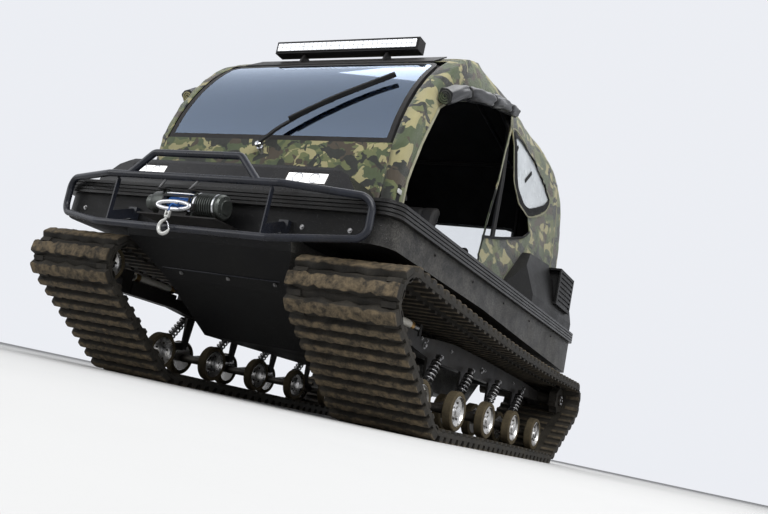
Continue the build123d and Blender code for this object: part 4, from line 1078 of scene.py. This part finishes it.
def cushion(name, low, high, lean=0.0, pivot=(0, 0, 0), seams=(), voxel=0.008, replaces=()):
    """Pad swollen to its full size, then drawn in along its sewn channels."""
    mesh = bmesh.new()
    middle = (Vector(low) + Vector(high)) / 2
    half = (Vector(high) - Vector(low)) / 2
    thin = min(range(3), key=lambda i: half[i])
    size = [h * 2 * (0.74 if i == thin else 0.965) for i, h in enumerate(half)]
    brick(mesh, tuple(middle - Vector(size) / 2), tuple(middle + Vector(size) / 2), 0.018, 0, 3)
    blown(mesh, voxel, 0.014)
    for vert in mesh.verts:
        part = [(vert.co[i] - middle[i]) / half[i] for i in range(3)]
        for i in range(3):
            vert.co[i] = middle[i] + half[i] * max(-1.0, min(1.0, part[i]))
        across = vert.co.y - middle.y
        if part[thin] > 0.2:
            pull = sum(math.exp(-((across - s) / 0.007) ** 2) for s in seams)
            vert.co[thin] -= 0.009 * min(1.0, pull)
    if lean:
        turn = Matrix.Translation(pivot) @ Matrix.Rotation(lean, 4, "Y") @ Matrix.Translation(-Vector(pivot))
        bmesh.ops.transform(mesh, matrix=turn, verts=mesh.verts)
    made = finish_piece(mesh, name, "seat_vinyl", "seat_vinyl", replaces=replaces, angle=180, closed=False)
    round_off = made.modifiers.new("round", "SUBSURF")
    round_off.levels = 1
    round_off.render_levels = 1
    return made


for side, y in (("left", 0.235), ("right", -0.235)):
    cushion(f"seat_base_{side}", (0.06, y - 0.215, 0.66), (0.52, y + 0.215, 0.75), seams=(-0.11, 0, 0.11),
            replaces=["front_seats"])
    cushion(f"seat_back_{side}", (0.062, y - 0.205, 0.752), (0.132, y + 0.205, 1.23), -0.186,
            (0.095, y, 0.75), seams=(-0.1, 0, 0.1), replaces=["front_seats"])
cushion("bench_base", (-0.56, -0.4, 0.64), (-0.15, 0.4, 0.74), seams=(-0.2, 0, 0.2), voxel=0.01,
        replaces=["rear_bench"])
cushion("bench_back", (-0.558, -0.4, 0.742), (-0.488, 0.4, 1.17), -0.16, (-0.525, 0, 0.74),
        seams=(-0.2, 0, 0.2), voxel=0.01, replaces=["rear_bench"])

# Winch, rope and hook

winch_x, winch_z, guard_x = 1.402, 0.726, 1.472
drum_start, drum_end, motor_end, gearbox_end = -0.13, 0.016, 0.164, -0.242
rope_y, rope_z, hook_x = -0.032, 0.702, 1.508


def ring_tube(mesh, line, section, material=0):
    """Section carried round a closed line."""
    old_faces = set(mesh.faces)
    count = len(line)
    rings = []
    middle = sum(line, Vector()) / count
    for index, spot in enumerate(line):
        ahead = (line[(index + 1) % count] - line[index - 1]).normalized()
        normal = Vector((1, 0, 0))
        side = ahead.cross(normal).normalized()
        verts = [mesh.verts.new(spot + side * a + normal * b) for a, b in section]
        rings.append([mesh.edges.new((a, b)) for a, b in zip(verts, verts[1:] + verts[:1])])
    for first, second in zip(rings, rings[1:] + rings[:1]):
        bmesh.ops.bridge_loops(mesh, edges=first + second)
    for face in mesh.faces:
        if face not in old_faces:
            face.material_index = material


def build_fairlead():
    """Polished oval hawse with a rounded lip, on its two dark feet."""
    mesh = bmesh.new()
    middle = -0.052
    half, rise = 0.0845, 0.016
    line = []
    for step in range(64):
        turn = math.tau * step / 64
        across = half * math.copysign(abs(math.cos(turn)) ** 0.9, math.cos(turn))
        line.append(Vector((guard_x - 0.0045, middle + across, rope_z + rise * math.sin(turn))))
    ring_tube(mesh, line, circle(0.0095, 16))
    for side in (-1, 1):
        tip = middle + side * 0.088
        brick(mesh, (guard_x - 0.024, tip - 0.009, rope_z - 0.014), (guard_x - 0.008, tip + 0.009, rope_z + 0.014),
              0.002, 1)
    finish_piece(mesh, "polished_hawse", "polished_metal", "polished_metal", "trim_black",
                 replaces=["fairlead"])


def build_winch_mount():
    """Tray, an open plate that carries the hawse, and two bright stays up to the guard."""
    mesh = bmesh.new()
    box_low, box_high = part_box("winch_mount")
    face = guard_x - 0.012
    tray_top = winch_z - 0.06
    brick(mesh, (box_low.x, box_low.y, tray_top - 0.006), (face, box_high.y, tray_top))
    low, high = tray_top, winch_z + 0.024
    inner_low, inner_high, rim = low + 0.014, high - 0.008, 0.007
    for start, end in (((drum_start, low), (drum_end, inner_low)), ((drum_start, inner_high), (drum_end, high)),
                       ((drum_start, inner_low), (drum_start + rim, inner_high)),
                       ((drum_end - rim, inner_low), (drum_end, inner_high))):
        brick(mesh, (face - 0.006, *start), (face, *end))
    for plate_y, foot_y, head_y in ((drum_start - 0.007, -0.165, -0.122), (drum_end + 0.007, -0.002, 0.051)):
        lug_low, lug_high = min(plate_y, foot_y) - 0.007, max(plate_y, foot_y) + 0.007
        brick(mesh, (winch_x + 0.01, lug_low, winch_z + 0.046), (winch_x + 0.058, lug_high, winch_z + 0.053), 0.002)
        bar(mesh, (winch_x + 0.052, foot_y, winch_z + 0.052), (guard_x - 0.002, head_y, box_high.z - 0.004),
            0.005, 14, 1)
    finish_piece(mesh, "open_winch_mount", "frame_paint", "frame_paint", "shock_steel", replaces=["winch_mount"])


def build_winch():
    """Ribbed motor, gearbox, end plates, bright tie rods and studs."""
    mesh = bmesh.new()
    across = (0, 1, 0)
    profile = [(0, 0), (0.05, 0), (0.05, 0.02)]
    place = 0.026
    while place < motor_end - drum_end - 0.03:
        profile += [(0.0475, place), (0.054, place + 0.002), (0.054, place + 0.006), (0.0475, place + 0.008)]
        place += 0.0115
    end = motor_end - drum_end
    profile += [(0.052, end - 0.022), (0.052, end - 0.014), (0.046, end - 0.007), (0.03, end - 0.004),
                (0.028, end), (0, end)]
    lathe(mesh, profile, (winch_x, drum_end, winch_z), across, 48, 0)
    lathe(mesh, [(0.0532, 0), (0.0538, 0.001), (0.0538, 0.009), (0.0532, 0.01), (0.0532, 0)],
          (winch_x, drum_end + 0.012, winch_z), across, 48, 1)
    lathe(mesh, [(0.0536, 0), (0.054, 0.001), (0.054, 0.007), (0.0536, 0.008), (0.0536, 0)],
          (winch_x, motor_end - 0.036, winch_z), across, 48, 1)
    box = drum_start - gearbox_end
    lathe(mesh, [(0, 0), (0.03, 0), (0.034, 0.004), (0.036, 0.03), (0.045, 0.036), (0.049, 0.042),
                 (0.05, box - 0.02), (0.05, box), (0, box)], (winch_x, gearbox_end, winch_z), across, 48, 0)
    for low in (drum_start - 0.014, drum_end):
        brick(mesh, (winch_x - 0.04, low, winch_z - 0.06), (winch_x + 0.04, low + 0.014, winch_z + 0.048),
              0.006, 0)
    for dx, dz in ((0.034, 0.036), (0.034, -0.036), (-0.034, 0.036)):
        bar(mesh, (winch_x + dx, drum_start, winch_z + dz), (winch_x + dx, drum_end, winch_z + dz), 0.005, 14, 1)
    for turn in range(6):
        angle = math.tau * turn / 6
        spot = (winch_x + 0.041 * math.cos(angle), motor_end - 0.0085, winch_z + 0.041 * math.sin(angle))
        lathe(mesh, [(0, 0), (0.0045, 0), (0.0045, 0.003), (0, 0.0035)], spot, across, 6, 1)
        spot = (winch_x + 0.04 * math.cos(angle), gearbox_end + 0.034, winch_z + 0.04 * math.sin(angle))
        lathe(mesh, [(0, 0), (0.004, 0), (0.004, 0.003), (0, 0.0035)], spot, (0, -1, 0), 6, 1)
    finish_piece(mesh, "ribbed_winch", "winch_metal", "winch_metal", "polished_metal", replaces=["winch"])
    mesh = bmesh.new()
    length = drum_end - drum_start
    profile = [(0, 0), (0.02, 0)]
    turns = 22
    for turn in range(turns):
        start = 0.001 + turn * (length - 0.002) / turns
        step = (length - 0.002) / turns
        profile += [(0.0262, start), (0.029, start + step * 0.25), (0.029, start + step * 0.75)]
    profile += [(0.0262, length - 0.001), (0.02, length), (0, length)]
    lathe(mesh, profile, (winch_x, drum_start, winch_z), across, 32)
    finish_piece(mesh, "wound_drum", "rope_fibre", "rope_fibre", replaces=["winch_drum"])


def build_rope():
    """Rope from the drum through the hawse, down to the thimble of the hook."""
    points = ((winch_x + 0.016, rope_y, rope_z), (hook_x - 0.034, rope_y, rope_z),
              (hook_x, rope_y, rope_z), (hook_x, rope_y, rope_z - 0.034))
    curve = bpy.data.curves.new("rope", "CURVE")
    curve.dimensions = "3D"
    spline = curve.splines.new("NURBS")
    spline.points.add(len(points) - 1)
    for point, place in zip(spline.points, points):
        point.co = (*place, 1)
    spline.order_u = 3
    spline.use_endpoint_u = True
    spline.resolution_u = 16
    curve.bevel_depth = 0.003
    curve.bevel_resolution = 4
    curve.materials.append(finishes["rope_fibre"])
    rope = bpy.data.objects.new("rope_lead", curve)
    bpy.context.scene.collection.objects.link(rope)
    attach(rope, "vehicle")
    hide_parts("winch_rope")
    return rope


def build_hook():
    """Clevis with its pin, and an open hook with a latch."""
    mesh = bmesh.new()
    top = rope_z - 0.034
    for side in (-1, 1):
        brick(mesh, (hook_x - 0.0075, rope_y + side * 0.0085 - 0.0025, top - 0.026),
              (hook_x + 0.0075, rope_y + side * 0.0085 + 0.0025, top - 0.001), 0.002)
    brick(mesh, (hook_x - 0.0075, rope_y - 0.011, top - 0.03), (hook_x + 0.0075, rope_y + 0.011, top - 0.02), 0.003)
    bar(mesh, (hook_x, rope_y - 0.0115, top - 0.008), (hook_x, rope_y + 0.0115, top - 0.008), 0.0035, 16)
    centre = Vector((hook_x, rope_y, top - 0.068))
    reach = 0.0285
    line = [Vector((hook_x, rope_y, top - 0.026)), Vector((hook_x, rope_y - 0.004, centre.z + reach + 0.004))]
    for step in range(22):
        turn = math.radians(112 + step * 11.4)
        line.append(centre + Vector((0, reach * math.cos(turn), reach * math.sin(turn))))
    smooth = smooth_line(line, 64)

    def section(share):
        thick = 0.0058 + 0.003 * math.sin(math.pi * min(1.0, max(0.0, (share - 0.1) / 0.9)))
        thick *= 1 - 0.55 * max(0.0, (share - 0.9) / 0.1)
        return circle(min(thick, 0.0078), 14)

    tube(mesh, smooth, section, 0)
    latch = [centre + Vector((0, 0.004, reach - 0.004)), centre + Vector((0, 0.014, reach - 0.012)),
             smooth[-3]]
    tube(mesh, smooth_line(latch, 8), circle(0.0022, 10), 1)
    return finish_piece(mesh, "forged_hook", "hook_paint", "hook_paint", "polished_metal",
                        replaces=["winch_hook"], angle=60)


build_fairlead()
build_winch_mount()
build_winch()
rope = build_rope()
hook = build_hook()


# Lamps

def build_head_lamps():
    """Clear lens over a bright reflector, inside a dark bezel."""
    mesh = bmesh.new()
    low, high = deck_top + 0.045, deck_top + 0.109
    inner, outer = 0.322, 0.532
    front_low, front_high = hood_face(low), hood_face(high)

    def face_point(y, z, inward=0.0):
        return Vector((hood_face(z) - inward, y, z))

    rows = []
    for depth, shrink in ((0.0, 0.0), (0.002, 0.006), (0.004, 0.009)):
        rows.append([face_point(inner + shrink, low + shrink, depth), face_point(outer - shrink, low + shrink, depth),
                     face_point(outer - shrink, high - shrink, depth), face_point(inner + shrink, high - shrink, depth)])
    back = [Vector((p.x - 0.05, p.y, p.z)) for p in rows[0]]
    loops = []
    for corners in [back] + rows:
        verts = [mesh.verts.new(p) for p in corners]
        loops.append([mesh.edges.new((a, b)) for a, b in zip(verts, verts[1:] + verts[:1])])
    for first, second in zip(loops, loops[1:]):
        bmesh.ops.bridge_loops(mesh, edges=first + second)
    bmesh.ops.contextual_create(mesh, geom=loops[0])
    glass = bmesh.ops.contextual_create(mesh, geom=loops[-1])["faces"]
    bmesh.ops.recalc_face_normals(mesh, faces=mesh.faces)
    for face in mesh.faces:
        face.material_index = 1
    for face in glass:
        face.material_index = 0
    tilt = Vector((1, 0, (front_low - front_high) / (high - low))).normalized()
    for y, size in ((0.385, 0.025), (0.465, 0.025)):
        z = (low + high) / 2
        spot = face_point(y, z, 0.003)
        lathe(mesh, [(size, 0), (size, 0.0012), (size - 0.004, 0.0018), (size - 0.005, 0.0005), (size, 0)],
              spot, tilt, 28, 2)
    mirror_across(mesh)
    finish_piece(mesh, "lit_head_lamps", "lamp_lens", "lamp_lens", "trim_black", "polished_metal",
                 body="hood", replaces=["head_lamps"], angle=20)


def hood_face(z):
    """Place of the hood's raked front at a height."""
    low, high = deck_top + 0.02, deck_top + 0.118
    return 1.31 - 0.034 * (z - low) / (high - low)


build_head_lamps()


def build_bar_lens():
    """Two rows of square reflectors with a bright diode in each."""
    low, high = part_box("light_bar_lens")
    mesh = bmesh.new()
    columns, rows = 30, 2
    cell_y = (high.y - low.y - 0.008) / columns
    cell_z = (high.z - low.z - 0.008) / rows
    brick(mesh, tuple(low), (high.x - 0.0012, high.y, high.z), 0.0, 1)
    for column in range(columns):
        for row in range(rows):
            y = low.y + 0.004 + cell_y * (column + 0.5)
            z = low.z + 0.004 + cell_z * (row + 0.5)
            shape = Matrix.Translation((high.x - 0.0002, y, z)) @ Matrix.Rotation(math.pi / 2, 4, "Y")
            old_faces = set(mesh.faces)
            made = bmesh.ops.create_grid(mesh, x_segments=1, y_segments=1, size=0.5,
                                         matrix=shape @ Matrix.Diagonal((cell_z * 0.94, cell_y * 0.94, 1, 1)))
            face = [f for f in mesh.faces if f not in old_faces]
            face[0].material_index = 0
            bmesh.ops.inset_region(mesh, faces=face, thickness=cell_y * 0.2, depth=0)
            bmesh.ops.translate(mesh, vec=(-0.0008, 0, 0), verts=face[0].verts[:])
            for rim in mesh.faces:
                if rim not in old_faces and rim is not face[0]:
                    rim.material_index = 2
    finish_piece(mesh, "diode_rows", "lamp_lens", "diode", "trim_black", "diode_reflector",
                 replaces=["light_bar_lens"], angle=20, closed=False)


build_bar_lens()


# Bolts and small fittings

def bolt(mesh, place, axis, size=0.009, material=0):
    """Hexagon head on a washer."""
    lathe(mesh, [(0, 0), (size * 1.25, 0), (size * 1.25, size * 0.2), (0, size * 0.2)], place, axis, 18, material)
    foot = Vector(place) + Vector(axis).normalized() * size * 0.18
    lathe(mesh, [(0, 0), (size * 0.8, 0), (size * 0.8, size * 0.6), (size * 0.6, size * 0.75), (0, size * 0.75)],
          foot, axis, 6, material)


def build_bolts():
    mesh = bmesh.new()
    bow = Vector((0.142, 0, -0.19)).normalized()
    for y in (-0.221, 0.044, 0.292):
        bolt(mesh, (1.1385, y, 0.4865), bow, 0.008)
    seam = [Vector((1.1545, y, 0.4985)) + bow * 0.0005 for y in (-0.322, 0, 0.322)]
    tube(mesh, seam, [(-0.003, -0.001), (0.003, -0.001), (0.002, 0.0015), (-0.002, 0.0015)], 2, bow)
    for y, z in ((0.482, 0.698), (-0.547, 0.689), (0.7, 0.7), (-0.72, 0.7)):
        bolt(mesh, (1.316, y, z), (1, 0, 0), 0.008)
    for side in (-1, 1):
        for x in (0.9, 0.45, 0.0, -0.45, -0.9):
            bolt(mesh, (x, side * 0.87, 0.735), (0, side, 0), 0.006, 1)
        for x in (0.52, -0.25, -1.0):
            bolt(mesh, (x, side * 0.726, 0.404), (0, side, 0), 0.013)
        for x in (0.56, 0.5, 0.2, -0.3, -0.8):
            bolt(mesh, (x, side * 0.726, 0.43 - 0.02 * (x < 0)), (0, side, 0), 0.007)
    finish_piece(mesh, "bolt_heads", "shock_steel", "shock_steel", "trim_black", "guard_paint")


build_bolts()


def build_hub_bolts():
    """Bright bolts round the end of each drive shaft."""
    mesh = bmesh.new()
    low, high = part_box("sprockets")
    for index in range(6):
        turn = math.tau * index / 6
        spot = (drive_place[0] + 0.024 * math.cos(turn), high.y - 0.001, drive_place[1] + 0.024 * math.sin(turn))
        lathe(mesh, [(0, 0), (0.007, 0), (0.007, 0.004), (0.005, 0.0055), (0, 0.0055)], spot, (0, 1, 0), 6)
    mirror_across(mesh)
    finish_piece(mesh, "hub_bolts", "polished_metal", "polished_metal")


build_hub_bolts()


def build_tensioners():
    """Pale grease cylinder with brass ends and a threaded rod."""
    mesh = bmesh.new()
    y, z = 0.701, 0.47
    run = (1, 0, 0)
    lathe(mesh, [(0, 0), (0.016, 0), (0.0195, 0.004), (0.0195, 0.286), (0.016, 0.29), (0, 0.29)],
          (0.64, y, z), run, 32, 0)
    for x in (0.64, 0.898):
        lathe(mesh, [(0.0196, 0), (0.02, 0.001), (0.02, 0.031), (0.0196, 0.032), (0.0196, 0)], (x, y, z), run, 32, 1)
    profile = [(0, 0), (0.0095, 0)]
    for turn in range(24):
        profile += [(0.0118, 0.0025 * turn + 0.001), (0.0098, 0.0025 * turn + 0.0022)]
    profile += [(0.0105, 0.064), (0, 0.064)]
    lathe(mesh, profile, (0.576, y, z), run, 20, 2)
    bar(mesh, (0.93, y, z), (0.96, y, z), 0.0118, 20, 2)
    mirror_across(mesh)
    finish_piece(mesh, "grease_cylinders", "tensioner_paint", "tensioner_paint", "brass", "shock_steel",
                 replaces=["tensioners"])


build_tensioners()


# Wiper and controls

def build_wiper():
    """Sprung arm, cranked to a rubber blade in its holder."""
    above = screen_bow + 0.017
    normal = screen_normal

    def spot(across, up, out):
        return screen_low + Vector((0, across, 0)) + screen_slope * up + screen_normal * out

    mesh = bmesh.new()
    lathe(mesh, [(0, 0), (0.015, 0), (0.0165, 0.002), (0.0165, 0.014), (0.012, 0.019), (0, 0.022)],
          spot(-0.03, -0.056, 0.008), normal, 24, 1)
    arm = [spot(-0.03, -0.056, 0.022), spot(0.012, -0.004, above - 0.038), spot(0.05, 0.04, above - 0.027),
           spot(0.17, 0.144, above - 0.004), spot(0.286, 0.243, above + 0.009)]

    def arm_section(share):
        wide = 0.014 - 0.007 * share
        return [(-wide, -0.0035), (wide, -0.0035), (wide * 0.7, 0.0055), (-wide * 0.7, 0.0055)]

    tube(mesh, smooth_line(arm, 30), arm_section, facing=normal)
    blade = [spot(0.085, 0.075, above - 0.018), spot(0.186, 0.159, above - 0.007), spot(0.286, 0.243, above),
             spot(0.487, 0.411, above)]
    line = smooth_line(blade, 26)
    tube(mesh, line, [(-0.012, 0.0), (0.012, 0.0), (0.012, 0.006), (0.006, 0.02), (-0.006, 0.02),
                      (-0.012, 0.006)], facing=normal)
    for share in (4, 10, 16, 22):
        brick(mesh, tuple(line[share] - Vector((0.005, 0.008, 0.006))), tuple(line[share] + Vector((0.004, 0.008, 0.006))),
              0.002)
    finish_piece(mesh, "wiper_arm_blade", "wiper_black", "wiper_black", "polished_metal", body="wiper_arm",
                 replaces=["wiper"])


build_wiper()


def build_grips():
    """Ribbed rubber grips on the handlebar's ends."""
    mesh = bmesh.new()
    for sign in (-1, 1):
        start = Vector((0.6475, 0.3 + sign * 0.15, 1.0445))
        end = Vector((0.64, 0.3 + sign * 0.24, 1.06))
        run = end - start
        profile = [(0.0125, 0.0)]
        steps = 12
        for k in range(steps):
            profile += [(0.016, (k + 0.2) * run.length / steps), (0.0145, (k + 0.8) * run.length / steps)]
        profile += [(0.0175, run.length), (0.0125, run.length)]
        lathe(mesh, profile + profile[:1], start, run, 20)
    finish_piece(mesh, "bar_grips", "trim_black", "trim_black", body="steering")


build_grips()


def build_gauges():
    """Round dial and a row of switches on the dashboard."""
    mesh = bmesh.new()
    low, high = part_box("dashboard")
    face = Vector((-0.95, 0, 0.3)).normalized()
    for y, size in ((0.3, 0.045), (0.18, 0.03), (0.42, 0.03)):
        spot = Vector((0.884, y, 1.045))
        lathe(mesh, [(0, 0.004), (size - 0.006, 0.004), (size - 0.004, 0.008), (size, 0.007), (size, -0.01),
                     (0, -0.01)], spot, face, 32, 0)
        lathe(mesh, [(0, 0.0042), (size - 0.008, 0.0042), (size - 0.008, 0.0048), (0, 0.0048)], spot, face, 32, 1)
    for index in range(6):
        y = -0.05 - index * 0.05
        brick(mesh, (0.866, y - 0.011, 1.01), (0.884, y + 0.011, 1.035), 0.002, 0)
    finish_piece(mesh, "dials", "trim_black", "trim_black", "engine_metal")


build_gauges()


def build_buckles():
    """Short black straps with pale buckles where the canopy meets the deck."""
    mesh = bmesh.new()
    for x, z in ((1.0, 0.95), (-0.3, 0.88), (-0.8, 0.88), (-1.15, 0.88)):
        ribbon(mesh, [(x, 0.74, z + 0.05), (x, 0.75, z), (x + 0.004, 0.76, deck_top + 0.012)], 0.024, 0.0025, 0, 8)
        near, normal, _, _ = canopy_tree.find_nearest(Vector((x, 0.75, z + 0.02)))
        brick(mesh, tuple(near + normal * 0.004 - Vector((0.017, 0.004, 0.011))),
              tuple(near + normal * 0.004 + Vector((0.017, 0.004, 0.011))), 0.003, 1)
    mirror_across(mesh)
    finish_piece(mesh, "buckle_straps", "canopy_fabric", "strap_black", "hook_paint", closed=False)


build_buckles()
